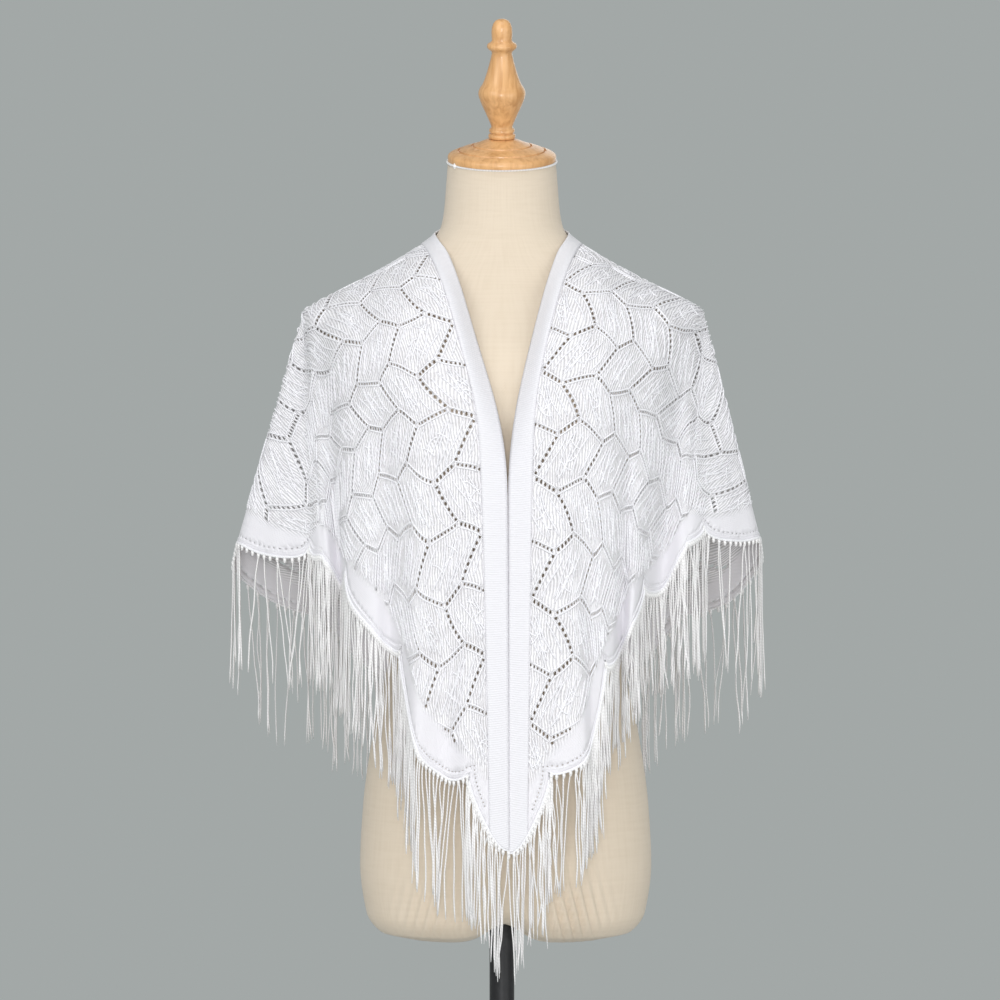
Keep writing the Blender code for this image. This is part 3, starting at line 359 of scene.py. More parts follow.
# --------------------------------------------------------------------- node tools
class Tree:
    """A node tree, with short calls to add and join nodes."""

    def __init__(self, tree: NodeTree) -> None:
        """Keep the tree."""
        self.tree = tree

    def add(self, kind: str, inputs: dict | None = None, **settings: object) -> Node:
        """Add a node.

        Args:
            kind: Blender's node type.
            inputs: Value or source socket for each named or numbered input.
            **settings: Attributes of the node.

        Returns:
            The new node.
        """
        node = self.tree.nodes.new(kind)
        for name, value in settings.items():
            setattr(node, name, value)
        for name, value in (inputs or {}).items():
            if isinstance(value, NodeSocket):
                self.tree.links.new(value, node.inputs[name])
            else:
                node.inputs[name].default_value = value
        return node

    def math(self, operation: str, one: object, two: object = 0.0) -> NodeSocket:
        """Work out one number from two."""
        return self.add("ShaderNodeMath", {0: one, 1: two}, operation=operation).outputs[0]

    def times(self, one: object, two: object) -> NodeSocket:
        """Multiply two numbers."""
        return self.math("MULTIPLY", one, two)

    def plus(self, one: object, two: object) -> NodeSocket:
        """Add two numbers."""
        return self.math("ADD", one, two)

    def rest(self, share: object) -> NodeSocket:
        """What a share leaves of one."""
        return self.math("SUBTRACT", 1.0, share)

    def axis(self, vector: object, name: str) -> NodeSocket:
        """One axis of a vector."""
        return self.add("ShaderNodeSeparateXYZ", {0: vector}).outputs[name]

    def noise(self, vector: object, scale: object, detail: float = 2.0,
              distortion: float = 0.0) -> NodeSocket:
        """A soft noise between 0 and 1."""
        return self.add("ShaderNodeTexNoise", {"Vector": vector, "Scale": scale, "Detail": detail,
                                               "Distortion": distortion}).outputs[0]

    def ramp(self, value: object, low: float, high: float) -> NodeSocket:
        """Map a value from a range to 0 and 1, with smooth ends."""
        node = self.add("ShaderNodeMapRange", {"Value": value, "From Min": low, "From Max": high},
                        interpolation_type="SMOOTHSTEP")
        return node.outputs["Result"]

    def mix(self, factor: object, one: object, two: object) -> NodeSocket:
        """Blend two colours."""
        node = self.add("ShaderNodeMix", {0: factor, 6: one, 7: two}, data_type="RGBA")
        return node.outputs[2]


def new_group(name: str, inputs: dict[str, float | None], outputs: tuple[str, ...]) -> Tree:
    """Start a shader group and its sockets.

    Args:
        name: Name of the group.
        inputs: First value of each number that goes in, or None for a vector.
        outputs: Names of the numbers that come out.

    Returns:
        The group's tree.
    """
    group = bpy.data.node_groups.new(name, "ShaderNodeTree")
    for key, value in inputs.items():
        kind = "NodeSocketVector" if value is None else "NodeSocketFloat"
        socket = group.interface.new_socket(key, in_out="INPUT", socket_type=kind)
        if value is not None:
            socket.default_value = value
    for key in outputs:
        group.interface.new_socket(key, in_out="OUTPUT", socket_type="NodeSocketFloat")
    return Tree(group)


def thread_group() -> NodeTree:
    """A group for crossed threads: the product of two sine waves, and a slub noise.

    Returns:
        A group with Vector, Across, Along and Slub inputs, and Height and Tone outputs.
    """
    known = bpy.data.node_groups.get("crossed_threads")
    if known:
        return known
    tree = new_group("crossed_threads", {"Vector": None, "Across": 800.0, "Along": 800.0,
                                         "Slub": 0.5}, ("Height", "Tone"))
    given = tree.add("NodeGroupInput").outputs
    wander = tree.times(tree.noise(given["Vector"], 45.0), 1.6)
    waves, slubs = [], []
    for axis, scale, drawn in (("X", "Across", (1.0, 0.06, 1.0)), ("Y", "Along", (0.06, 1.0, 1.0))):
        turn = tree.times(tree.axis(given["Vector"], axis), given[scale])
        waves.append(tree.math("SINE", tree.plus(turn, wander)))
        place = tree.add("ShaderNodeVectorMath", {0: given["Vector"], 1: drawn},
                         operation="MULTIPLY")
        slubs.append(tree.noise(place.outputs[0], 260.0, 3.0))
    weave = tree.add("ShaderNodeMath", {0: tree.times(*waves), 1: 0.5, 2: 0.5},
                     operation="MULTIPLY_ADD").outputs[0]
    tone = tree.times(tree.plus(*slubs), 0.5)
    height = tree.plus(weave, tree.times(tone, given["Slub"]))
    tree.add("NodeGroupOutput", {"Height": height, "Tone": tone})
    return tree.tree


def surface_group() -> NodeTree:
    """A group for soft mottling: two noises, coarse and fine.

    Returns:
        A group with Vector and Scale inputs and a Value output.
    """
    known = bpy.data.node_groups.get("mottle")
    if known:
        return known
    tree = new_group("mottle", {"Vector": None, "Scale": 0.0}, ("Value",))
    given = tree.add("NodeGroupInput").outputs
    coarse = tree.noise(given["Vector"], given["Scale"], 3.0)
    fine = tree.noise(given["Vector"], tree.times(given["Scale"], 6.0))
    value = tree.plus(tree.times(coarse, 0.65), tree.times(fine, 0.35))
    tree.add("NodeGroupOutput", {"Value": value})
    return tree.tree


class Finish:
    """A material with a Principled shader and a tree to dress it."""

    def __init__(self, name: str, roughness: float, fixed: dict[str, object] | None = None) -> None:
        """Start a material.

        Args:
            name: Name of the material.
            roughness: Roughness of the shader.
            fixed: Value of every other input of the shader that is set once.
        """
        self.material = bpy.data.materials.new(name)
        self.material.use_nodes = True
        self.tree = Tree(self.material.node_tree)
        self.shader = self.material.node_tree.nodes["Principled BSDF"]
        for key, value in {"Roughness": roughness, **(fixed or {})}.items():
            self.shader.inputs[key].default_value = value

    def threads(self, vector: object, across: float, along: float,
                slub: float) -> NodeOutputs:
        """Crossed threads: the outputs Height and Tone."""
        return self.tree.add("ShaderNodeGroup", {"Vector": vector, "Across": across, "Along": along,
                                                 "Slub": slub}, node_tree=thread_group()).outputs

    def mottle(self, vector: object, scale: float) -> NodeSocket:
        """Soft mottling between 0 and 1."""
        return self.tree.add("ShaderNodeGroup", {"Vector": vector, "Scale": scale},
                             node_tree=surface_group()).outputs[0]

    def place(self, source: str, scale: Place) -> NodeSocket:
        """Coordinates from a named output of Texture Coordinate, scaled."""
        origin = self.tree.add("ShaderNodeTexCoord").outputs[source]
        return self.tree.add("ShaderNodeMapping", {"Vector": origin, "Scale": scale}).outputs[0]

    def join(self, value: NodeSocket, name: str) -> None:
        """Join a value to an input of the shader."""
        self.tree.tree.links.new(value, self.shader.inputs[name])

    def blend(self, share: object, one: Color, two: Color) -> None:
        """Colour the surface with one colour that gives way to another."""
        self.join(self.tree.mix(share, one, two), "Base Color")

    def bump(self, height: NodeSocket, distance: float, strength: float) -> None:
        """Raise the surface by a height in metres."""
        node = self.tree.add("ShaderNodeBump", {"Height": height, "Distance": distance,
                                                "Strength": strength})
        self.join(node.outputs[0], "Normal")


@dataclass(frozen=True)
class KnitFinish:
    """White knitted lace: a net ground with fine wales, and a dense hem border.

    The wander is that of the wales, in radians; sheer is the cover left where the net is
    open. The last four say how much of the shade colour each thing brings in: painted
    shade between the wales, in the open net and on the border, and the yarn's own slub tone.
    """

    light: Color = (0.955, 0.935, 0.975, 1.0)
    shade: Color = (0.785, 0.765, 0.81, 1.0)
    wale: float = 2 * math.pi / 0.0026
    course: float = 2 * math.pi / 0.0034
    wander: float = 30.0
    sheer: float = 0.68
    gap_shade: float = 0.34
    open_shade: float = 0.4
    border_shade: float = 1.05
    tone_shade: float = 0.10

    def build(self) -> Material:
        """Build the material.

        The net's wales are a sine wave across the cloth that wanders with a noise;
        between them it is sheer, and darker by painted shade, as are its open patches. The
        attribute "net" is 0 on the border, which is opaque and takes the shade colour in full,
        as painted shade.
        """
        finish = Finish("white_knit", 0.82, {
            "Sheen Weight": 0.15, "Subsurface Weight": 0.35, "Subsurface Radius": (1.0, 1.0, 1.0),
            "Subsurface Scale": 0.0020})
        tree = finish.tree
        net = tree.add("ShaderNodeAttribute", attribute_name="net").outputs["Fac"]
        flat = finish.place("UV", (FLAT_SPAN, FLAT_SPAN, 1.0))
        threads = finish.threads(flat, self.course, self.wale, 0.5)
        turn = tree.plus(tree.times(tree.axis(flat, "Y"), self.wale),
                         tree.times(tree.noise(flat, 24.0, 3.0), self.wander))
        line = tree.ramp(tree.math("SINE", turn), -0.7, 0.6)
        dapple = tree.ramp(finish.mottle(flat, MOTTLE_SCALE), 0.36, 0.64)
        gap = tree.times(tree.rest(line), net)
        open_net = tree.times(net, tree.times(dapple, 0.5))
        # painted shade: the gaps between the wales, the open patches and the border take the shade
        # colour; tone is the yarn's own slubs
        dark = tree.plus(tree.times(gap, self.gap_shade), tree.times(open_net, self.open_shade))
        dark = tree.plus(dark, tree.times(tree.rest(net), self.border_shade))
        dark = tree.plus(dark, tree.times(threads["Tone"], self.tone_shade))
        finish.blend(dark, self.light, self.shade)
        see_through = tree.times(tree.plus(gap, open_net), 1 - self.sheer)
        finish.join(tree.rest(see_through), "Alpha")
        finish.bump(tree.plus(tree.times(line, net), threads["Height"]), KNIT_BUMP, 0.5)
        return finish.material


@dataclass(frozen=True)
class BandFinish:
    """Plain dense knit with fine ribs across the band."""

    light: Color = (0.785, 0.77, 0.81, 1.0)
    shade: Color = (0.74, 0.725, 0.76, 1.0)
    rib: float = 2 * math.pi / 0.0023

    def build(self) -> Material:
        """Build the material: a sine rib along the band, with painted shade in its troughs, and a
        fine mottling.
        """
        finish = Finish("white_band", 0.8, {"Sheen Weight": 0.15})
        tree, flat = finish.tree, finish.place("UV", (FLAT_SPAN, FLAT_SPAN, 1.0))
        wave = tree.math("SINE", tree.times(tree.axis(flat, "X"), self.rib))
        height = tree.plus(wave, tree.times(finish.mottle(flat, MOTTLE_SCALE), 0.9))
        finish.blend(tree.ramp(height, 0.9, -0.5), self.light, self.shade)
        finish.bump(height, KNIT_BUMP, 0.4)
        return finish.material


@dataclass(frozen=True)
class YarnFinish:
    """Bright twisted yarn of the fringe and of the raised threads."""

    name: str = "white_yarn"
    light: Color = (0.91, 0.90, 0.935, 1.0)
    shade: Color = (0.81, 0.80, 0.835, 1.0)
    roughness: float = 0.5
    twist: float = 2 * math.pi / 0.0032

    def build(self) -> Material:
        """Build the material: a slanting ply line along the yarn, with painted shade in its
        grooves, on its own UV map.
        """
        finish = Finish(self.name, self.roughness, {"Sheen Weight": 0.2})
        tree, flat = finish.tree, finish.place("UV", (1.0, 1.0, 1.0))
        turn = tree.times(tree.axis(flat, "Y"), self.twist)
        around = tree.times(tree.axis(flat, "X"), 2 * math.pi)
        ply = tree.math("SINE", tree.plus(turn, around))
        finish.blend(tree.ramp(ply, 0.2, -1.0), self.light, self.shade)
        finish.bump(ply, FINE_BUMP, 0.35)
        return finish.material


@dataclass(frozen=True)
class LinenFinish:
    """Cream linen with slubs in both thread directions."""

    light: Color = (0.715, 0.608, 0.487, 1.0)
    shade: Color = (0.680, 0.572, 0.450, 1.0)
    thread: float = 2 * math.pi / 0.0016

    def build(self) -> Material:
        """Build the material on the form's own UV map, in metres round and up it."""
        finish = Finish("slub_linen", 0.9, {"Sheen Weight": 0.2})
        flat = finish.place("UV", (LINEN_SPAN, LINEN_SPAN, 1.0))
        threads = finish.threads(flat, self.thread, self.thread, 1.0)
        finish.blend(finish.tree.ramp(threads["Tone"], 0.30, 0.62), self.shade, self.light)
        finish.bump(threads["Height"], KNIT_BUMP, 0.45)
        return finish.material


@dataclass(frozen=True)
class WoodFinish:
    """Honey-coloured turned wood under varnish."""

    light: Color = (0.77, 0.435, 0.190, 1.0)
    dark: Color = (0.50, 0.235, 0.075, 1.0)

    def build(self) -> Material:
        """Build the material: grain lines stretched along the turning axis."""
        finish = Finish("honey_wood", 0.42, {"Coat Weight": 0.3, "Coat Roughness": 0.18})
        tree, place = finish.tree, finish.place("Object", (1.0, 1.0, 0.12))
        grain = tree.noise(place, 190.0, 4.0, 0.6)
        tone = tree.plus(tree.times(grain, 0.7), tree.times(tree.noise(place, 40.0), 0.4))
        finish.blend(tree.ramp(tone, 0.40, 0.86), self.light, self.dark)
        finish.bump(grain, FINE_BUMP, 0.3)
        return finish.material


@dataclass(frozen=True)
class MetalFinish:
    """Black powder-coated metal of the stand."""

    color: Color = (0.018, 0.018, 0.02, 1.0)
    dapple: Color = (0.032, 0.032, 0.035, 1.0)

    def build(self) -> Material:
        """Build the material: a fine orange-peel coat with faint dust."""
        finish = Finish("black_metal", 0.42, {"Metallic": 0.3})
        tree, place = finish.tree, finish.place("Object", (1.0, 1.0, 1.0))
        finish.blend(tree.ramp(finish.mottle(place, 25.0), 0.45, 0.7), self.color, self.dapple)
        finish.bump(tree.noise(place, 900.0), FINE_BUMP, 0.35)
        return finish.material


# --------------------------------------------------------------------- the form
@dataclass
class DressForm:
    """The padded torso with its wooden neck cap, finial, pole and foot."""

    bottom: float = 0.482
    notch: float = 0.020
    notch_width: float = 0.026
    neck_top: float = 1.296
    neck_base: float = 1.225
    neck_tilt: float = math.radians(16.0)
    middle_y: float = -0.004
    notch_fade: float = 0.05
    hip_lean: float = 0.004
    lean_top: float = 1.0
    lean_fade: float = 0.25
    softness: float = 0.02
    cup_x: float = 0.074
    cup_height: float = 1.022
    cup_depth: float = 0.024
    cup_width: float = 0.046
    cup_tall: float = 0.058
    wrinkle_depth: float = 0.0046
    wrinkle_middle: tuple[float, float] = (0.068, 0.516)
    wrinkle_size: tuple[float, float] = (0.030, 0.040)
    wrinkle_left: float = 0.45
    wrinkle_slant: float = 0.24
    wrinkle_turn: float = 610.0
    sides: int = 336
    rings: int = 180
    cap_height: float = 0.0233
    pole_radius: float = 0.013
    pole_foot: float = 0.0453
    knot_turn: float = math.radians(212)

    def cup(self, x: np.ndarray, z: np.ndarray) -> np.ndarray:
        """Forward swell of the bust: a bell curve across and up, on each side."""
        across = (np.abs(x) - self.cup_x) / self.cup_width
        up = (z - self.cup_height) / self.cup_tall
        return self.cup_depth * np.exp(-across ** 2 - up ** 2)

    def size(self, z: np.ndarray) -> tuple[np.ndarray, ...]:
        """Half-width, front depth, back depth and squareness at a height."""
        return tuple(smooth_table(FORM_SECTIONS, field, z)
                     for field in ("half_width", "front", "back", "squareness"))

    def push_off(self, points: np.ndarray, clearance: float) -> np.ndarray:
        """Move points that lie in or near the form straight out from its axis.

        Args:
            points: Array of shape (..., 3).
            clearance: Least distance from the form, in metres.

        Returns:
            The moved points.
        """
        x, y, z = points[..., 0], points[..., 1] - self.middle_y, points[..., 2]
        half_width, front, back, power = self.size(z)
        depth = np.where(y < 0, front + self.cup(x, z), back)
        level = (np.abs(x / half_width) ** power + np.abs(y / depth) ** power) ** (1 / power)
        level = np.maximum(level, 0.05)
        radius = np.maximum(np.hypot(x, y) / level, 0.01)
        wanted = 1 + clearance / radius
        near = np.where(z < self.neck_top, wanted - level, -1.0)
        push = 0.5 * (near + np.sqrt(near ** 2 + self.softness ** 2)) - 0.25 * self.softness
        scale = np.where(near > -2 * self.softness, (level + np.maximum(push, 0)) / level, 1.0)
        return np.stack([x * scale, y * scale + self.middle_y, z], axis=-1)

    def notch_rise(self, x: np.ndarray) -> np.ndarray:
        """How far the underside rises between the two lobes: a bell curve."""
        return self.notch * bell(x, 0.0, self.notch_width)

    def surface(self, height: np.ndarray, turn: np.ndarray) -> np.ndarray:
        """Points of the form, a rounded section at each height.

        Args:
            height: Heights in metres.
            turn: Angles round the form.

        Returns:
            Points of shape (..., 3).
        """
        half_width, front, back, power = self.size(height)
        c, s = np.cos(turn), np.sin(turn)
        x = half_width * np.abs(c) ** (2 / power) * np.sign(c)
        reach = np.abs(s) ** (2 / power)
        y = np.where(s > 0, reach * back, -reach * (front + self.cup(x, height)))
        slant = np.clip((height - self.neck_base) / (self.neck_top - self.neck_base), 0, None)
        low = np.clip(1 - (height - self.bottom) / self.notch_fade, 0, None)
        z = height + y * math.tan(self.neck_tilt) * slant + self.notch_rise(x) * low
        x = x + self.hip_lean * np.clip((self.lean_top - height) / self.lean_fade, 0, 1)
        return np.stack([x, y + self.middle_y, z], axis=-1)

    def wrinkles(self, points: np.ndarray) -> np.ndarray:
        """Depth of the linen's pull lines: slanting ripples low on the front of the hips."""
        x, z = points[..., 0], points[..., 2]
        side = (bell(np.abs(x), self.wrinkle_middle[0], self.wrinkle_size[0])
                * np.where(x > 0, 1.0, self.wrinkle_left))
        low = bell(z, self.wrinkle_middle[1], self.wrinkle_size[1])
        front = (points[..., 1] < 0).astype(float)
        ripple = np.sin((np.abs(x) + self.wrinkle_slant * z) * self.wrinkle_turn)
        return self.wrinkle_depth * low * side * front * ripple

    def build_torso(self, linen: Material) -> Object:
        """Build the linen-covered torso as one grid, closed under and on the neck.

        The rings crowd towards the underside and the neck's top.
        """
        share = np.linspace(0, 1, self.rings)
        bunched = share - 0.09 * np.sin(2 * np.pi * share) - 0.015 * np.sin(4 * np.pi * share)
        heights = self.bottom + (self.neck_top - self.bottom) * bunched
        turns = 2 * np.pi * np.arange(self.sides) / self.sides
        height, turn = np.meshgrid(heights, turns, indexing="ij")
        points = self.surface(height, turn)
        out = unit((points - [0, self.middle_y, 0]) * [1, 1, 0])
        points = points + out * self.wrinkles(points)[..., None]
        first, last = points[0], points[-1]
        share = np.array((0.01, 0.10, 0.2, 0.3, 0.4, 0.5, 0.6, 0.7, 0.8, 0.9, 0.97))[:, None]
        x, y = first[:, 0] * share, first[:, 1] * share
        under = np.stack([x, y, self.bottom + self.notch_rise(x)], axis=-1)
        centre = last.mean(axis=0)
        over = np.stack([centre + (last - centre) * k for k in (0.9, 0.5, 0.05)])
        grid = np.concatenate([under, points, over])
        rows = len(grid)
        girth = turns[None] / (2 * np.pi) * 0.75
        rise = run_along(grid[:, 0])[:, None] / LINEN_SPAN
        uv = np.stack(np.broadcast_arrays(girth, rise), axis=-1)
        faces = grid_faces(rows, self.sides, True).tolist()
        faces += [list(range(self.sides))[::-1],
                  list(range((rows - 1) * self.sides, rows * self.sides))]
        torso = new_object("torso_linen", grid.reshape(-1, 3), faces, linen, uv.reshape(-1, 2))
        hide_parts("form_torso")
        return torso

    def seat(self) -> Matrix:
        """Where the neck cap stands, leaning forward with the neck."""
        return (Matrix.Translation((0, self.middle_y, self.neck_top))
                @ Matrix.Rotation(self.neck_tilt, 4, "X"))

    def turned(self, name: str, profile: tuple[Turned, ...], place: Matrix,
               material: Material, sides: int = 96) -> Object:
        """Spin a profile of radii and heights about its axis and close both ends.

        Args:
            name: Name of the piece.
            profile: Rings from the bottom up.
            place: Where the axis stands.
            material: The piece's finish.
            sides: Facets round the axis.

        Returns:
            The piece.
        """
        turns = 2 * np.pi * np.arange(sides) / sides
        radius = np.array([row.radius for row in profile])[:, None]
        height = np.array([row.height for row in profile])[:, None]
        ring = np.stack(np.broadcast_arrays(radius * np.cos(turns), radius * np.sin(turns), height),
                        axis=-1).reshape(-1, 3)
        turn = np.array(place)[:3, :3]
        points = ring @ turn.T + np.array(place)[:3, 3]
        faces = grid_faces(len(profile), sides, True).tolist()
        faces += [list(range(sides))[::-1], list(range(len(points) - sides, len(points)))]
        piece = new_object(name, points, faces, material)
        piece.data.set_sharp_from_angle(angle=math.radians(50))
        return piece

    def build_wood(self, wood: Material) -> list[Object]:
        """Build the stepped neck cap and the finial."""
        cap = self.turned("neck_cap_wood", CAP_PROFILE, self.seat(), wood, 128)
        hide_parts("neck_cap")
        lift = Matrix.Translation((0, 0, self.cap_height))
        top = self.turned("finial_wood", FINIAL_PROFILE, self.seat() @ lift, wood)
        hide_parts("finial")
        return [cap, top]

    def build_stand(self, metal: Material) -> list[Object]:
        """Build the round foot with its socket, and the pole."""
        base = self.turned("stand_foot", FOOT_PROFILE, Matrix.Identity(4), metal, 128)
        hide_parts("stand_base")
        top = self.bottom + float(self.notch_rise(np.array(self.pole_radius))) - 0.0015
        rings = tuple(Turned(self.pole_radius, z) for z in (self.pole_foot, 0.2, 0.35, top))
        rod = self.turned("stand_rod", rings, Matrix.Identity(4), metal, 48)
        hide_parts("stand_pole")
        return [base, rod]

    def build_piping(self, yarn: Material) -> Object:
        """Build the white piping round the neck's top edge, with its small knot."""
        turns = np.linspace(0, 2 * np.pi, 97)[:-1]
        ring = self.surface(np.full(96, self.neck_top - 0.0012), turns)
        ring = ring + unit(ring - ring.mean(axis=0)) * 0.0006
        closed = np.concatenate([ring, ring[:1]])
        knot = self.surface(np.array([self.neck_top - 0.001]), np.array([self.knot_turn]))[0]
        knot += unit(knot * [1, 1, 0]) * 0.0012
        ball = np.stack([knot + [0, 0, 0.0028], knot, knot - [0, 0, 0.0030]])
        piping = tube_piece("neck_piping", yarn, tubes(closed[None], np.full((1, 97), 0.0013), 6),
                            tubes(ball[None], np.array([[0.0008, 0.0024, 0.0008]]), 8))
        return piping


def tubes(paths: np.ndarray, radius: np.ndarray,
          sides: int) -> tuple[np.ndarray, np.ndarray, np.ndarray]:
    """Carry a round section along many paths at once, each with closed ends.

    The section at each point stands square to the path; its first axis is the
    path's tangent crossed with a fixed direction that is never in line with it.

    Args:
        paths: Array of shape (paths, points, 3).
        radius: Array of shape (paths, points).
        sides: Facets round each tube.

    Returns:
        Points, quads and UVs: round the tube from 0 to 1, and metres along it.
    """
    count, length = paths.shape[:2]
    forward = unit(np.gradient(paths, axis=1))
    mean = forward.mean(axis=1, keepdims=True)
    helper = np.where(np.abs(mean[..., 2:]) > 0.75, [0.0, 1.0, 0.0], [0.0, 0.0, 1.0])
    one = unit(np.cross(forward, helper))
    two = np.cross(forward, one)
    turn = 2 * np.pi * np.arange(sides) / sides
    ring = one[:, :, None] * np.cos(turn)[:, None] + two[:, :, None] * np.sin(turn)[:, None]
    points = paths[:, :, None] + ring * radius[:, :, None, None]
    uv = np.stack(np.broadcast_arrays(turn / (2 * np.pi), run_along(paths)[..., None]), axis=-1)
    each = grid_faces(length, sides, True)
    last = (length - 1) * sides
    ends = []
    for k in range(sides // 2 - 1):
        ends.append([k, sides - 1 - k, sides - 2 - k, k + 1])
        ends.append([last + k, last + k + 1, last + sides - 2 - k, last + sides - 1 - k])
    each = np.concatenate([each, np.array(ends, dtype=int).reshape(-1, 4)])
    shift = np.arange(count)[:, None, None] * (length * sides)
    return points.reshape(-1, 3), (each[None] + shift).reshape(-1, 4), uv.reshape(-1, 2)


def tube_piece(name: str, yarn: Material,
               *meshes: tuple[np.ndarray, ...]) -> Object:
    """Make one piece of one or more sets of tubes.

    Args:
        name: Name of the piece.
        yarn: Its finish.
        *meshes: Points, quads and UVs of each set.

    Returns:
        The piece.
    """
    first = np.cumsum([0, *(len(mesh[0]) for mesh in meshes[:-1])])
    points, uv = (np.concatenate([mesh[k] for mesh in meshes]) for k in (0, 2))
    faces = np.concatenate([mesh[1] + start for mesh, start in zip(meshes, first)])
    return new_object(name, points, faces, yarn, uv)


# --------------------------------------------------------------------- the drape
@dataclass
class Drape:
    """The rule that lays flat points (u along the long edge, v into the cloth)."""

    form: DressForm
    neck_run: float = 0.103
    shoulder_flat: tuple[float, float] = (0.1800, 0.1499)
    neck_side: Place = (0.0650, 0.000, 1.221)
    neck_back: Place = (0.000, 0.062, 1.238)
    front_spread: float = math.radians(40.0)
    clear: float = 0.0016
    left_bow: float = 0.0065
    right_bow: float = 0.0030
    bow_height: float = 1.105
    bow_tall: float = 0.075
    curve_points: int = 25
    longest_sweep: float = 0.45

    def rays(self, ray: np.ndarray) -> tuple[np.ndarray, np.ndarray, np.ndarray]:
        """Where each ray starts in the flat cloth, and its angle there."""
        across, fan, front = np.clip(ray, 0, 1), np.clip(ray - 1, 0, 1), np.clip(3 - ray, 0, 1)
        tip_u, tip_v = self.shoulder_flat
        span = tip_u - self.neck_run
        seam = math.atan2(tip_v, span)
        start_u = np.where(ray < 1, self.neck_run * across,
                           np.where(ray < 2, tip_u, self.neck_run + span * front))
        start_v = np.where(ray < 1, 0.0, np.where(ray < 2, tip_v, tip_v * front))
        angle = np.where(ray < 1, np.pi / 2 - (np.pi / 2 - seam) * across,
                         np.where(ray < 2, seam - (seam - self.front_spread) * fan,
                                  self.front_spread * front ** 1.2))
        return start_u, start_v, angle

    def seam_distance(self, flat: np.ndarray) -> np.ndarray:
        """Distance in front of the shoulder line, which parts front and back."""
        along = unit(np.array(self.shoulder_flat) - (self.neck_run, 0.0))
        u, v = np.abs(flat[..., 0]) - self.neck_run, flat[..., 1]
        return u * along[1] - v * along[0]

    def find_ray(self, u: np.ndarray, v: np.ndarray) -> tuple[np.ndarray, np.ndarray]:
        """The ray through each flat point, by halving, and the distance along it."""
        in_front = self.seam_distance(np.stack([u, v], axis=-1)) > 0
        low, high = np.where(in_front, 1.0, 0.0), np.where(in_front, 3.0, 1.0)
        for _ in range(34):
            middle = 0.5 * (low + high)
            start_u, start_v, angle = self.rays(middle)
            beyond = np.cos(angle) * (v - start_v) - np.sin(angle) * (u - start_u) > 0
            high, low = np.where(beyond, middle, high), np.where(beyond, low, middle)
        ray = 0.5 * (low + high)
        start_u, start_v, angle = self.rays(ray)
        return ray, np.cos(angle) * (u - start_u) + np.sin(angle) * (v - start_v)

    def ray_top(self, ray: np.ndarray, rows: tuple[Hang, ...]) -> np.ndarray:
        """Where each ray starts on the form: the neck's back or the shoulder line."""
        turn = 0.5 * np.pi * np.clip(ray, 0, 1)
        side, back = self.neck_side, self.neck_back
        top = np.stack([side[0] * np.sin(turn), back[1] * np.cos(turn),
                        side[2] + (back[2] - side[2]) * np.cos(turn)], axis=-1)
        ahead = ray >= 1
        if ahead.any():
            reach = math.hypot(self.shoulder_flat[0] - self.neck_run, self.shoulder_flat[1])
            along = np.clip(3 - ray[ahead], 0, 1) * reach
            top[ahead] = self.hang(np.full(len(along), 1 - 1e-9), along, rows)
        return top

    def body_curves(self, ray: np.ndarray,
                    rows: tuple[Hang, ...]) -> tuple[np.ndarray, np.ndarray]:
        """Cubic Bezier curves of rays over the body.

        The first inner point of a curve is a share of the way to where the ray leaves the
        body, other shares across, ahead and down. The second lies above that place, in
        line with the straight drop that follows.

        Args:
            ray: Number of each ray.
            rows: Table of where rays leave the body and hang.

        Returns:
            Curves of shape (n, curve_points, 3), clear of the form, and the directions of
            the drop.
        """
        top = self.ray_top(ray, rows)
        leave, low = (np.stack([smooth_table(rows, field, ray) for field in fields], axis=-1)
                      for fields in (("x", "y", "z"), ("hem_x", "hem_y", "hem_z")))
        longest = self.longest_sweep * np.linalg.norm(leave - top, axis=-1)
        sweep = np.minimum(smooth_table(rows, "sweep", ray), longest)[..., None]
        down = unit(low - leave)
        level = 0.12 + 0.42 * np.clip(ray, 0, 1)[..., None] ** 2
        ahead = 0.45 + 0.14 * np.clip((ray[..., None] - 2.5) / 0.5, 0, 1)
        share = np.where((ray < 1)[..., None], np.array([0.4, 0.4, 0]) + level * [0, 0, 1],
                         np.array([0.10, 0, 0.03]) + ahead * [0, 1, 0])
        first = top + (leave - top) * share
        second = leave - down * sweep
        t = np.linspace(0, 1, self.curve_points)[None, :, None]
        curve = ((1 - t) ** 3 * top[:, None] + 3 * t * (1 - t) ** 2 * first[:, None]
                 + 3 * t * t * (1 - t) * second[:, None] + t ** 3 * leave[:, None])
        return self.form.push_off(curve, self.clear), down

    def hang(self, ray: np.ndarray, distance: np.ndarray, rows: tuple[Hang, ...]) -> np.ndarray:
        """Follow rays over the body on their curves, and then straight down.

        The front edges bow outwards over the chest by a bell curve of the height.

        Args:
            ray: Number of each ray.
            distance: Distance along it in the flat cloth.
            rows: Table of where rays leave the body and hang.

        Returns:
            Points of shape (n, 3), clear of the form.
        """
        curve, down = self.body_curves(ray, rows)
        distance = distance * smooth_table(rows, "draw", ray)
        reach = run_along(curve)
        i = np.clip((reach <= distance[:, None]).sum(axis=1) - 1, 0, curve.shape[1] - 2)
        row = np.arange(len(ray))
        length = np.maximum(reach[row, i + 1] - reach[row, i], 1e-9)
        share = np.clip((distance - reach[row, i]) / length, 0, 1)[:, None]
        on_body = curve[row, i] * (1 - share) + curve[row, i + 1] * share
        beyond = np.maximum(distance - reach[:, -1], 0)[:, None]
        place = on_body + down * beyond
        amount = self.left_bow if rows is LEFT_HANG else self.right_bow
        bowed = bell(place[:, 2], self.bow_height, self.bow_tall)
        place[:, 0] += amount * bowed * np.clip((ray - 2.4) / 0.4, 0, 1)
        return self.form.push_off(place, self.clear)

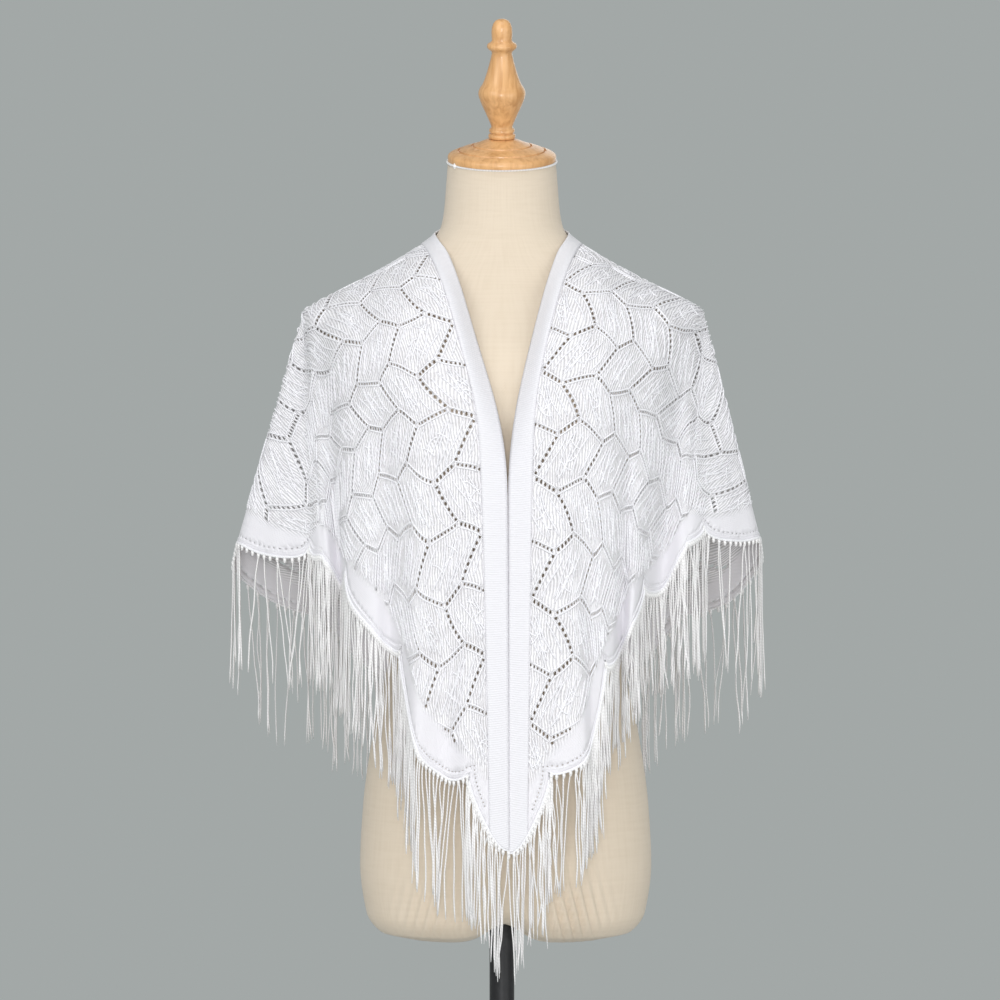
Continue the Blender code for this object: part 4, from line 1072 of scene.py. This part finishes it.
    def lay(self, flat: np.ndarray) -> np.ndarray:
        """Lay flat points over the form.

        Args:
            flat: Array of shape (n, 2).

        Returns:
            Points of shape (n, 3).
        """
        u, v = flat[:, 0], flat[:, 1]
        ray, distance = self.find_ray(np.abs(u), v)
        result = np.zeros((len(flat), 3))
        for side, rows in ((u < 0, LEFT_HANG), (u >= 0, RIGHT_HANG)):
            if side.any():
                result[side] = self.hang(ray[side], distance[side], rows)
        result[u < 0, 0] *= -1
        return result

    def normals(self, flat: np.ndarray) -> np.ndarray:
        """Directions away from the body, from differences of 2 mm in the flat cloth."""
        step = 0.002
        shallow = np.stack([flat[:, 0], np.maximum(flat[:, 1] - step, 0)], axis=1)
        across = self.lay(flat + (step, 0)) - self.lay(flat - (step, 0))
        along = self.lay(flat + (0, step)) - self.lay(shallow)
        return unit(np.cross(across, along))


# --------------------------------------------------------------------- the lace
class Eyelets(NamedTuple):
    """How many eyelets a row has, and their size in metres."""

    count: int
    wide: float
    tall: float


class Row(Enum):
    """The three kinds of eyelet row."""

    LONG = Eyelets(7, 0.0025, 0.0042)
    COARSE = Eyelets(5, 0.0022, 0.0046)
    FINE = Eyelets(8, 0.0018, 0.0030)


class Stretch(NamedTuple):
    """How far the pattern is drawn along the edge by the cloth's weight."""

    along: float
    shift: float


STRETCHES = table(
    Stretch,
    (0.00, 0.000), (0.28, -0.065), (0.34, -0.073), (0.40, -0.085),
    (0.46, -0.096), (0.52, -0.1025), (0.65, -0.1050), (0.90, -0.1050),
)

# Corners of the pattern's repeat, as (u, v) from its root.
ROOT, LEFT, FORK = (0.0, 0.0), (-0.0462, 0.0210), (0.01575, 0.0210)
RIGHT, NEXT = (0.0588, 0.03885), (0.07665, 0.0210)

# Where the lines of a leaf lie between its long rows, and where short threads cross them.
LEAF_LINES = (0.12, 0.27, 0.42, 0.57, 0.72, 0.88)
LEAF_CROSSINGS = ((0.30, 1), (0.52, -1), (0.74, 1))


@dataclass(frozen=True)
class LaceChart:
    """The leaf lace, charted: a repeat of two leaves, six eyelet rows."""

    into: float = 0.0491
    along: float = 0.1229
    phase_v: float = 0.0210
    phase_u: float = 0.0324
    long_bow: float = 0.0016
    slight_bow: float = 0.0004

    def drawn(self, flat: np.ndarray) -> np.ndarray:
        """Draw charted places outwards along the edge by the stretch table."""
        shift = smooth_table(STRETCHES, "shift", np.abs(flat[..., 0]))
        return np.stack([flat[..., 0] + np.sign(flat[..., 0]) * shift, flat[..., 1]], axis=-1)

    def corners(self) -> np.ndarray:
        """Flat place (u, v) of the root of each repeat."""
        row, column = np.meshgrid(np.arange(-2, 14), np.arange(-8, 9), indexing="ij")
        return np.stack([column.ravel() * self.along + self.phase_u,
                         row.ravel() * self.into + self.phase_v], axis=1)

    def moved(self, corner: tuple[float, float], columns: int, rows: int) -> tuple[float, float]:
        """The same corner of another repeat, columns along and rows into the cloth."""
        return corner[0] + columns * self.along, corner[1] + rows * self.into

    def rows(self) -> tuple[tuple[Row, tuple[float, float], tuple[float, float]], ...]:
        """Kind, start and end (u, v from the root) of each eyelet row."""
        return ((Row.LONG, ROOT, LEFT), (Row.LONG, FORK, RIGHT), (Row.COARSE, ROOT, FORK),
                (Row.COARSE, RIGHT, NEXT), (Row.FINE, FORK, self.moved(ROOT, 0, 1)),
                (Row.FINE, self.moved(RIGHT, -1, 0), self.moved(LEFT, 0, 1)))

    def bow(self, kind: Row, run: np.ndarray) -> float:
        """How far a row's middle is bowed towards the hem."""
        return self.long_bow if kind is Row.LONG and run[0] > 0 else self.slight_bow

    def leaves(self) -> tuple[tuple, ...]:
        """Two leaves of a repeat: both long rows (from, to) and the two blunt ends."""
        first = ((LEFT, ROOT), (self.moved(LEFT, 0, 1), self.moved(ROOT, 0, 1)),
                 self.moved(RIGHT, -1, 0), FORK)
        second = ((self.moved(FORK, 0, -1), self.moved(RIGHT, 0, -1)), (FORK, RIGHT), ROOT, NEXT)
        return first, second


def flat_uv(flat: np.ndarray) -> np.ndarray:
    """Flat places as UV places, on the scale of the white finishes."""
    return (flat + (FLAT_SPAN / 2, 0.0)) / FLAT_SPAN


@dataclass
class Shawl:
    """The cloth: lace body, plain band, raised threads, edge and fringe."""

    drape: Drape
    chart: LaceChart
    half: float = 0.798
    depth_notches: int = 6
    first_notch: tuple[float, float] = (0.085, 0.041)
    notch_step: tuple[float, float] = (0.1229, 0.0977)
    bulges: tuple[float, float, float] = (0.009, 0.028, 0.062)
    band_width: float = 0.0205
    thickness: float = 0.0008
    band_thickness: float = 0.0015
    overlap: float = 0.0040
    border: float = 0.009
    mesh_pitch: float = 0.0050
    edge_pitch: float = 0.0045
    hole_sides: int = 7
    dot_inside: float = 0.0072
    dot_pitch: float = 0.0044
    dot_size: tuple[float, float] = (0.0017, 0.0010)
    fade: float = 0.004
    cord_radius: float = 0.00150
    line_inside: float = 0.0048

    def __post_init__(self) -> None:
        """Work out the flat hem and the notches."""
        (in_u, in_v), (step_u, step_v) = self.first_notch, self.notch_step
        self.notches = np.array([(self.half - in_u - step_u * k, in_v + step_v * k)
                                 for k in range(self.depth_notches)])
        self.hem = self.hem_line(0.0035)

    def lobe(self, start: np.ndarray, end: np.ndarray, bulge: float) -> np.ndarray:
        """One scallop between two notches: the chord pushed out by a blunt sine."""
        chord = end - start
        out = unit(np.array([-chord[1], chord[0]]))
        out *= 1 if out[1] > 0 else -1
        share = np.linspace(0, 1, 121)[:, None]
        return start + chord * share + out * bulge * np.sin(np.pi * share).clip(0) ** 0.5

    def hem_line(self, pitch: float) -> np.ndarray:
        """The scalloped hem from the right front corner round to the left one.

        Args:
            pitch: Distance between points.

        Returns:
            Flat points of shape (n, 2).
        """
        corner, lobe, apex = self.bulges
        right = [np.array([self.half, 0.0]), *self.notches]
        bulges = [corner] + [lobe] * (len(right) - 2)
        parts = [even_points(self.lobe(a, b, k), pitch)[:-1]
                 for a, b, k in zip(right, right[1:], bulges)]
        side = np.concatenate(parts)
        last = self.notches[-1]
        middle = even_points(self.lobe(last, last * (-1, 1), apex), pitch)[:-1]
        return np.concatenate([side, middle, [last * (-1, 1)], side[::-1] * (-1, 1)])

    def lace_outline(self) -> np.ndarray:
        """Flat outline of the lace, which reaches a little way under the band."""
        edge = self.band_width - self.overlap
        tip = int(np.argmax(self.hem[:, 1] > edge))
        share = (edge - self.hem[tip - 1, 1]) / (self.hem[tip, 1] - self.hem[tip - 1, 1])
        corner = self.hem[tip - 1] * (1 - share) + self.hem[tip] * share
        count = round(2 * corner[0] / self.edge_pitch) + 1
        top = np.stack([np.linspace(-corner[0], corner[0], count), np.full(count, edge)], axis=1)
        return np.concatenate([top, self.hem[tip:len(self.hem) - tip]])

    def net_depth(self, flat: np.ndarray) -> np.ndarray:
        """Depth of a flat place inside the patterned zone, the plain border left out."""
        corner = np.array([[self.half + 0.02, -0.03]])
        border = np.concatenate([corner, self.notches, self.notches[::-1] * (-1, 1),
                                 corner * (-1, 1)])
        gap = line_distance(flat, border)
        depth = np.where(inside(flat, border), gap, -gap) - self.border
        return np.minimum(depth, flat[:, 1] - self.band_width + 0.0016)

    def eyelet_table(self) -> tuple[np.ndarray, np.ndarray, np.ndarray]:
        """Every eyelet of the patterned zone and of the line inside the hem.

        Returns:
            Centres, tilts of the long axis from the u direction, and (long, short) sizes.
        """
        corners = self.chart.corners()
        centres, tilts, sizes = [], [], []
        for kind, start, end in self.chart.rows():
            count, wide, tall = kind.value
            a, b = np.array(start), np.array(end)
            share = (np.arange(count) + 0.5) / count
            share = 0.5 + (share - 0.5) * (0.96 if kind is Row.LONG else 0.90)
            spots = a + (b - a) * share[:, None]
            spots[:, 1] += self.chart.bow(kind, b - a) * np.sin(np.pi * share)
            centres.append((corners[:, None] + spots[None]).reshape(-1, 2))
            lean = math.atan2(b[1] - a[1], b[0] - a[0]) if kind is Row.LONG else 0.0
            lean = (lean + np.pi / 2) % np.pi - np.pi / 2
            number = len(corners) * count
            tilts.append(np.full(number, lean * 0.45))
            sizes.append(np.tile([tall, wide], (number, 1)))
        centre = self.chart.drawn(np.concatenate(centres))
        tilt, size = np.concatenate(tilts), np.concatenate(sizes)
        keep = self.net_depth(centre) > 0.0022
        dots, lean = self.hem_dots()
        small = np.tile(self.dot_size, (len(dots), 1))
        return (np.concatenate([centre[keep], dots]), np.concatenate([tilt[keep], lean]),
                np.concatenate([size[keep], small]))

    def hem_dots(self) -> tuple[np.ndarray, np.ndarray]:
        """Places and tilts of the small eyelets in a line inside the hem."""
        hem = self.hem_line(0.002)
        inner = hem - outward(hem) * self.dot_inside
        clear = line_distance(inner, hem) > self.dot_inside - 0.0004
        clear &= inner[:, 1] > self.band_width + 0.004
        dots = even_points(inner[clear], self.dot_pitch)
        along = np.gradient(dots, axis=0)
        return dots, np.arctan2(along[:, 1], along[:, 0])

    def eyelet_rings(self) -> np.ndarray:
        """Corners of every eyelet, a tilted ring each."""
        centre, tilt, size = self.eyelet_table()
        turn = np.arange(self.hole_sides) * 2 * np.pi / self.hole_sides
        local = np.stack([np.cos(turn), np.sin(turn)], axis=1)[None] * size[:, None] / 2
        c, s = np.cos(tilt)[:, None], np.sin(tilt)[:, None]
        x, y = local[..., 0], local[..., 1]
        ring = np.stack([x * c - y * s, x * s + y * c], axis=-1)
        return (centre[:, None] + ring).reshape(-1, 2)

    def filling(self, outline: np.ndarray, holes: np.ndarray) -> np.ndarray:
        """Staggered points inside the cloth, clear of its outline and its eyelets."""
        pitch = self.mesh_pitch
        u, v = np.meshgrid(np.arange(-0.80, 0.80, pitch), np.arange(0.0, 0.66, pitch * 0.87),
                           indexing="xy")
        u = u + (np.arange(u.shape[0]) % 2)[:, None] * pitch / 2
        grid = np.stack([u.ravel(), v.ravel()], axis=1)
        grid = grid[inside(grid, outline)]
        grid = grid[line_distance(grid, np.concatenate([outline, outline[:1]])) > 0.0020]
        tree = KDTree(len(holes))
        for index, spot in enumerate(holes):
            tree.insert((spot[0], spot[1], 0.0), index)
        tree.balance()
        return grid[np.array([tree.find((a, b, 0.0))[2] > 0.0022 for a, b in grid])]

    def lace_mesh(self) -> tuple[np.ndarray, np.ndarray]:
        """Triangulate the flat lace round its eyelets.

        Returns:
            Flat points and triangles.
        """
        outline, holes = self.lace_outline(), self.eyelet_rings()
        points = np.concatenate([outline, holes, self.filling(outline, holes)])
        count, sides = len(outline), self.hole_sides
        edges = [(k, (k + 1) % count) for k in range(count)]
        for first in range(count, count + len(holes), sides):
            edges += [(first + k, first + (k + 1) % sides) for k in range(sides)]
        label = np.full(len(points), -1)
        label[count:count + len(holes)] = np.arange(len(holes)) // sides
        flat, _, triangles, sources, _, _ = delaunay_2d_cdt(
            [Vector(point) for point in points], edges, [], 0, 1e-7)
        flat, triangles = np.array([tuple(point) for point in flat]), np.array(triangles)
        label = np.array([label[origin[0]] if origin else -1 for origin in sources])
        mark = label[triangles]
        same_hole = (mark == mark[:, :1]).all(axis=1) & (mark[:, 0] >= 0)
        triangles = triangles[~same_hole]
        triangles = triangles[inside(flat[triangles].mean(axis=1), outline)]
        used, triangles = np.unique(triangles, return_inverse=True)
        flat, triangles = flat[used], triangles.reshape(-1, 3)
        a, b, c = (flat[triangles[:, k]] for k in range(3))
        flip = (b - a)[:, 0] * (c - a)[:, 1] - (b - a)[:, 1] * (c - a)[:, 0] < 0
        triangles[flip] = triangles[flip][:, ::-1]
        return flat, triangles

    def build_lace(self, knit: Material) -> Object:
        """Build the lace as one thin sheet with every eyelet cut through."""
        flat, triangles = self.lace_mesh()
        lace = new_object("shawl_lace", self.drape.lay(flat), triangles, knit, flat_uv(flat))
        share = np.clip(self.net_depth(flat) / self.fade + 0.6, 0, 1)
        net = lace.data.attributes.new("net", "FLOAT", "POINT")
        net.data.foreach_set("value", share.astype(np.float32))
        thicken(lace, self.thickness)
        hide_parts("lace_front_right", "lace_front_left", "lace_back")
        LOG.info("lace: %d flat points, %d triangles", len(flat), len(triangles))
        return lace

    def build_band(self, dense: Material) -> Object:
        """Build the plain band along the long edge as a thin grid, crowned across."""
        u = np.linspace(-self.half, self.half, 801)
        v = np.linspace(0.0002, self.band_width - 0.0001, 9)
        end = np.interp(v, self.hem[:40, 1], self.hem[:40, 0])
        grid_u = u[:, None] / self.half * end[None]
        flat = np.stack([grid_u, np.broadcast_to(v, grid_u.shape)], axis=-1).reshape(-1, 2)
        crown = 0.0004 * np.sin(np.pi * flat[:, 1] / self.band_width) ** 0.5 + 0.0007
        points = self.drape.lay(flat) + self.drape.normals(flat) * crown[:, None]
        band = new_object("shawl_band", points, grid_faces(len(u), len(v), False), dense,
                          flat_uv(flat))
        thicken(band, self.band_thickness)
        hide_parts("band_front_right", "band_front_left", "band_neck")
        return band

    def threads(self, name: str, flat: np.ndarray, radius: float, lift: float,
                yarn: Material) -> Object:
        """Lay raised threads on the cloth, thinning out where the pattern ends.

        Args:
            name: Name of the piece.
            flat: Flat paths, of shape (paths, points, 2).
            radius: Radius of a thread.
            lift: Height of its middle above the middle of the cloth.
            yarn: Its finish.

        Returns:
            The piece.
        """
        flat = self.chart.drawn(flat)
        depth = self.net_depth(flat.reshape(-1, 2)).reshape(flat.shape[:2])
        share = np.clip(depth / self.fade, 0, 1)
        keep = (share > 0.3).sum(axis=1) >= 4
        flat, share = flat[keep], share[keep]
        first = np.argmax(share > 0.3, axis=1)
        last = flat.shape[1] - 1 - np.argmax(share[:, ::-1] > 0.3, axis=1)
        at = first[:, None] + (last - first)[:, None] * np.linspace(0, 1, flat.shape[1])[None]
        low = np.floor(at).astype(int).clip(0, flat.shape[1] - 2)
        part = (at - low)[..., None]
        row = np.arange(len(flat))[:, None]
        flat = flat[row, low] * (1 - part) + flat[row, low + 1] * part
        shape = flat.shape[:2]
        points = (self.drape.lay(flat.reshape(-1, 2))
                  + self.drape.normals(flat.reshape(-1, 2)) * lift).reshape(*shape, 3)
        ends = np.minimum(np.arange(shape[1]), np.arange(shape[1])[::-1]).astype(float)
        size = radius * np.clip(0.45 + ends * 0.4, 0, 1)[None] * np.ones((shape[0], 1))
        piece = tube_piece(name, yarn, tubes(points, size, 4))
        LOG.info("%s: %d threads", name, shape[0])
        return piece

    def build_row_threads(self, yarn: Material) -> Object:
        """Build the bright threads on both sides of every eyelet row."""
        corners = self.chart.corners()
        share = np.linspace(-0.02, 1.02, 9)[:, None]
        paths = []
        for kind, start, end in self.chart.rows():
            a, b = np.array(start), np.array(end)
            aside = (0.0, 1.0) if kind is Row.LONG else (1.0, 0.0)
            reach = (kind.value.wide if kind is Row.LONG else kind.value.tall) / 2 + 0.0015
            for side in (-1, 1):
                path = a + (b - a) * share + np.array(aside) * side * reach
                path[:, 1] += self.chart.bow(kind, b - a) * np.sin(np.pi * share[:, 0].clip(0, 1))
                paths.append(corners[:, None] + path[None])
        return self.threads("row_threads", np.concatenate(paths), 0.00095, 0.00080, yarn)

    def build_veins(self, yarn: Material) -> Object:
        """Build the raised threads inside each leaf.

        A leaf lies between two long eyelet rows. Each line starts and ends at a share w of
        the way between them, drawn in towards the blunt ends most for the middle lines. It
        is bowed by half a sine wave and a small full one. Short slanting threads cross it.
        """
        corners = self.chart.corners()
        rng = np.random.default_rng(5)
        t = np.linspace(0, 1, 14)[:, None]
        aside = np.array([0.0, 1.0])
        paths = []
        for low, high, low_end, high_end in self.chart.leaves():
            a, b, c, d = (np.array(spot) for spot in (low[0], low[1], high[0], high[1]))
            for number, w in enumerate(LEAF_LINES):
                point = 1 - abs(2 * w - 0.9)
                first, last = (
                    (near * (1 - w) + far * w) * (1 - 0.62 * point) + np.array(end) * 0.62 * point
                    for near, far, end in ((a, c, low_end), (b, d, high_end)))
                trim = 0.05 + 0.05 * (number % 2)
                s = trim + (1 - 2 * trim) * t
                bow = (0.0040 * (0.5 - w) * np.sin(np.pi * s)
                       + 0.0013 * np.sin(2 * np.pi * s + 2.1 * number))
                path = first + (last - first) * s + aside * bow
                wander = rng.normal(0, 0.0005, (len(corners), 1, 2)) * np.sin(np.pi * s)[None]
                paths.append(corners[:, None] + path[None] + wander)
            for place, side in LEAF_CROSSINGS:
                middle = (a * 0.5 + c * 0.5) * (1 - place) + (b * 0.5 + d * 0.5) * place
                run = np.array([0.011, 0.0105 * side]) * (t - 0.5)
                run = run + np.array([0.0028, 0.0]) * np.sin(np.pi * t)
                wander = rng.normal(0, 0.0022, (len(corners), 1, 2))
                paths.append(corners[:, None] + (middle + run)[None] + wander)
        return self.threads("leaf_veins", np.concatenate(paths), 0.00090, 0.00090, yarn)

    def build_edge(self, yarn: Material) -> Object:
        """Build the corded hem edge and the thin line inside it."""
        hem = self.hem_line(self.edge_pitch)
        out = outward(hem)
        edge = hem + out * 0.0004
        inner = hem - out * self.line_inside
        inner = inner[line_distance(inner, hem) > self.line_inside - 0.0006]
        parts = []
        for line, radius, lift in ((edge, self.cord_radius, 0.0003), (inner, 0.0005, 0.0006)):
            flat = np.stack([line[:, 0], np.maximum(line[:, 1], 0.0)], axis=1)
            path = self.drape.lay(flat) + self.drape.normals(flat) * lift
            parts.append(tubes(path[None], np.full((1, len(path)), radius), 6))
        piece = tube_piece("hem_edge", yarn, *parts)
        return piece


# Heights and radii of the rings of a knot, from its top down.
KNOT_HEIGHTS = (0.0022, 0.0010, -0.0008, -0.0030, -0.0042)
KNOT_RADII = (0.0007, 0.0014, 0.0017, 0.0014, 0.0008)


@dataclass
class Fringe:
    """The knotted fringe: a knot every few millimetres with one or two strands from each.

    It is thinner on the wings over the arms, and shorter low on the right front.
    """

    shawl: Shawl
    knot_pitch: float = 0.0053
    knot_out: float = 0.0021
    knot_size: float = 1.1
    length: float = 0.146
    radius: float = 0.00074
    points: int = 13
    bunch: float = 5.5
    doubled: float = 0.42
    wing_x: float = 0.265
    wing_width: float = 0.050
    wing_thinned: float = 0.35
    short_x: float = 0.11
    short_width: float = 0.06
    shortened: float = 0.20
    farthest_swing: float = 0.013
    seed: int = 11

    def roots(self) -> tuple[np.ndarray, np.ndarray, np.ndarray]:
        """Flat root of each knot, its place and the hem's direction there."""
        hem = even_points(self.shawl.hem_line(0.002), self.knot_pitch)
        spot = hem + outward(hem) * self.knot_out
        flat = np.stack([spot[:, 0], np.maximum(spot[:, 1], 0.0)], axis=1)
        place = self.shawl.drape.lay(flat)
        return flat, place, unit(np.gradient(place, axis=0))

    def bunches(self, count: int, rng: np.random.Generator) -> np.ndarray:
        """Number of the bunch that each strand swings towards, 2 to 12 strands a bunch."""
        sizes = np.clip(rng.poisson(self.bunch, count), 2, 12)
        return np.repeat(np.arange(count), sizes)[:count]

    def strands(self) -> tuple[np.ndarray, np.ndarray, np.ndarray]:
        """One or two hanging paths from each knot, or none where the fringe is thinned.

        Each starts at its knot and hangs plumb. Most swing towards the middle of their
        bunch, so that strands meet in a V, and each has a slow wave. A bunch is up to
        a fifth shorter than the next, and a few strands are shorter by another fifth.

        Returns:
            Paths of shape (strands, points, 3), their radii, and each one's flat root.
        """
        rng = np.random.default_rng(self.seed)
        flat, place, along = self.roots()
        pair = np.repeat(np.arange(len(flat)), 2)
        side = np.tile([-1.0, 1.0], len(flat))
        kept = (side < 0) | (rng.random(len(pair)) < self.doubled)
        wing = bell(np.abs(place[pair][:, 0]), self.wing_x, self.wing_width)
        kept &= rng.random(len(pair)) > self.wing_thinned * wing
        pair, side = pair[kept], side[kept]
        count, start, each = len(pair), place[pair], (len(pair), 1, 1)
        bunch = self.bunches(count, rng)
        total = np.zeros((count, 3))
        weight = np.zeros(count)
        np.add.at(total, bunch, start)
        np.add.at(weight, bunch, 1.0)
        middle = (total / np.maximum(weight, 1)[:, None])[bunch]
        pull = np.clip(rng.normal(0.62, 0.38, count), 0, 0.95)[bunch] * rng.random(count) ** 0.2
        towards = (middle - start) * [1, 1, 0] * pull[:, None]
        far = np.maximum(np.linalg.norm(towards, axis=1), 1e-9)
        towards *= np.minimum(1.0, self.farthest_swing / far)[:, None]
        s = np.linspace(0, 1, self.points)[None, :, None]
        meet = 0.5 + 0.4 * rng.random(count)[bunch][:, None, None] + 0.15 * rng.random(each)
        swing = np.minimum(s / meet, 1.0) ** 1.15
        level = unit(along[pair] * [1, 1, 0])[:, None]
        away = unit(start * [1, 1, 0])[:, None]
        gap = (0.0008 + 0.0008 * rng.random(each)) * side[:, None, None]
        lean = rng.normal(0, 0.0024, each) * s ** 1.7
        bow = rng.normal(0, 0.0014, each) * np.sin(np.pi * s)
        ripple = rng.normal(0, 0.0006, each) * np.sin(4.1 * np.pi * s + rng.random(each) * 6)
        deep = rng.normal(0, 0.0028, each) * s ** 1.4
        short = 0.20 * rng.random(count)[bunch] + 0.22 * (rng.random(count) < 0.08)
        front = (start[:, 0] > 0) & (start[:, 1] < 0)
        short = short + self.shortened * front * bell(start[:, 0], self.short_x, self.short_width)
        long = self.length * (1 - short + rng.normal(0, 0.025, count))[:, None, None]
        drop = np.array([0, 0, -1.0]) * (s * long)
        path = (start[:, None] + drop + towards[:, None] * swing
                + level * (gap * np.clip(s * 9, 0, 1) + lean + bow + ripple) + away * deep)
        path = self.shawl.drape.form.push_off(path, 0.003)
        thick = np.clip(1 + 0.2 * rng.normal(0, 1, (count, 1)), 0.6, 1.5)
        radius = self.radius * thick * np.ones((1, self.points))
        radius[:, -1] *= 0.5
        return path, radius, flat[pair]

    def stretch(self, flat: np.ndarray) -> np.ndarray:
        """Name of the stretch of hem that each flat place belongs to."""
        side = np.where(flat[:, 0] > 0, "right", "left")
        return np.where(self.shawl.drape.seam_distance(flat) > 0, side, "back")

    def build(self, yarn: Material) -> list[Object]:
        """Build the strands and knots of the right front, the back and the left front."""
        path, radius, root = self.strands()
        flat, place, _ = self.roots()
        heights = np.array([0, 0, 1.0]) * np.array(KNOT_HEIGHTS)[None, :, None]
        pieces = []
        for stretch, name, node in (("right", "fringe_yarn_right", "fringe_right"),
                                    ("back", "fringe_yarn_back", "fringe_back"),
                                    ("left", "fringe_yarn_left", "fringe_left")):
            strand = self.stretch(root) == stretch
            knots = place[self.stretch(flat) == stretch][:, None] + heights
            size = np.broadcast_to(np.array(KNOT_RADII), knots.shape[:2]) * self.knot_size
            piece = tube_piece(name, yarn, tubes(path[strand], radius[strand], 4),
                               tubes(knots, size, 6))
            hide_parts(node)
            LOG.info("%s: %d strands", name, int(strand.sum()))
            pieces.append(piece)
        return pieces


# ------------------------------------------------------------------------ studio
class Lamp(NamedTuple):
    """A square soft light."""

    name: str
    place: Place
    size: float
    power: float


LAMPS = table(
    Lamp,
    ("front_light", (-0.12, -4.4, 1.10), 0.9, 66.0),
    ("key_light", (-2.2, -2.7, 2.2), 2.0, 34.0),
    ("fill_light", (2.2, -2.6, 1.0), 2.0, 26.0),
    ("top_light", (0.0, -1.5, 3.4), 1.8, 20.0),
    ("back_light", (0.8, 2.6, 2.2), 2.0, 14.0),
)


@dataclass
class Studio:
    """Pale floor, grey air, soft lights and the camera."""

    floor_reach: float = 2.6
    floor_color: Color = (0.62, 0.63, 0.62, 1.0)
    air_color: Color = (0.366, 0.392, 0.387, 1.0)
    target: Place = (0.0, 0.0, 0.95)
    eye: Place = (-0.002, -3.7, 0.9399)
    lens: float = 126.9

    def lay_floor(self) -> None:
        """Lay the plain pale floor."""
        floor = Finish("studio_floor", 0.9, {"Base Color": self.floor_color})
        corners = np.array([[-1, -1, 0], [1, -1, 0], [1, 1, 0], [-1, 1, 0]]) * self.floor_reach
        ground = new_object("studio_ground", corners, [[0, 1, 2, 3]], floor.material)

    def light(self, lamp: Lamp) -> None:
        """Hang a square soft light that faces the shawl."""
        data = bpy.data.lights.new(lamp.name, "AREA")
        data.size = lamp.size
        data.energy = lamp.power
        item = bpy.data.objects.new(lamp.name, data)
        item.location = lamp.place
        aim = Vector(self.target) - Vector(lamp.place)
        item.rotation_euler = aim.to_track_quat("-Z", "Y").to_euler()
        bpy.context.scene.collection.objects.link(item)

    def build(self) -> None:
        """Build lights, world and camera."""
        self.lay_floor()
        world = bpy.data.worlds.new("studio_air")
        world.use_nodes = True
        air = world.node_tree.nodes["Background"]
        air.inputs["Color"].default_value = self.air_color
        air.inputs["Strength"].default_value = 1.0
        bpy.context.scene.world = world
        bpy.context.scene.view_settings.view_transform = "Standard"
        for lamp in LAMPS:
            self.light(lamp)
        data = bpy.data.cameras.new("view")
        data.lens = self.lens
        data.sensor_width = 36.0
        data.clip_end = 50.0
        camera = bpy.data.objects.new("view", data)
        camera.location = self.eye
        camera.rotation_euler = (math.pi / 2, 0, 0)
        bpy.context.scene.collection.objects.link(camera)
        bpy.context.scene.camera = camera


def main() -> None:
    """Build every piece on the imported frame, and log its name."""
    logging.basicConfig(level=logging.INFO, format="%(message)s")
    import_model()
    Studio().build()
    form = DressForm()
    shawl = Shawl(Drape(form), LaceChart())
    knit, dense = KnitFinish().build(), BandFinish().build()
    yarn = YarnFinish(light=(0.88, 0.865, 0.87, 1.0), shade=(0.76, 0.745, 0.75, 1.0)).build()
    raised = YarnFinish("raised_thread", roughness=0.7).build()
    pieces = [form.build_torso(LinenFinish().build())]
    pieces += form.build_wood(WoodFinish().build())
    pieces += form.build_stand(MetalFinish().build())
    pieces.append(form.build_piping(yarn))
    lace = shawl.build_lace(knit)
    band = shawl.build_band(dense)
    trims = [band, shawl.build_row_threads(raised), shawl.build_veins(raised),
             shawl.build_edge(raised)]
    trims += Fringe(shawl).build(yarn)
    for piece in [*pieces, lace, *trims]:
        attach(piece, BODY)
        LOG.info("built %s", piece.name)


if __name__ == "__main__":
    main()
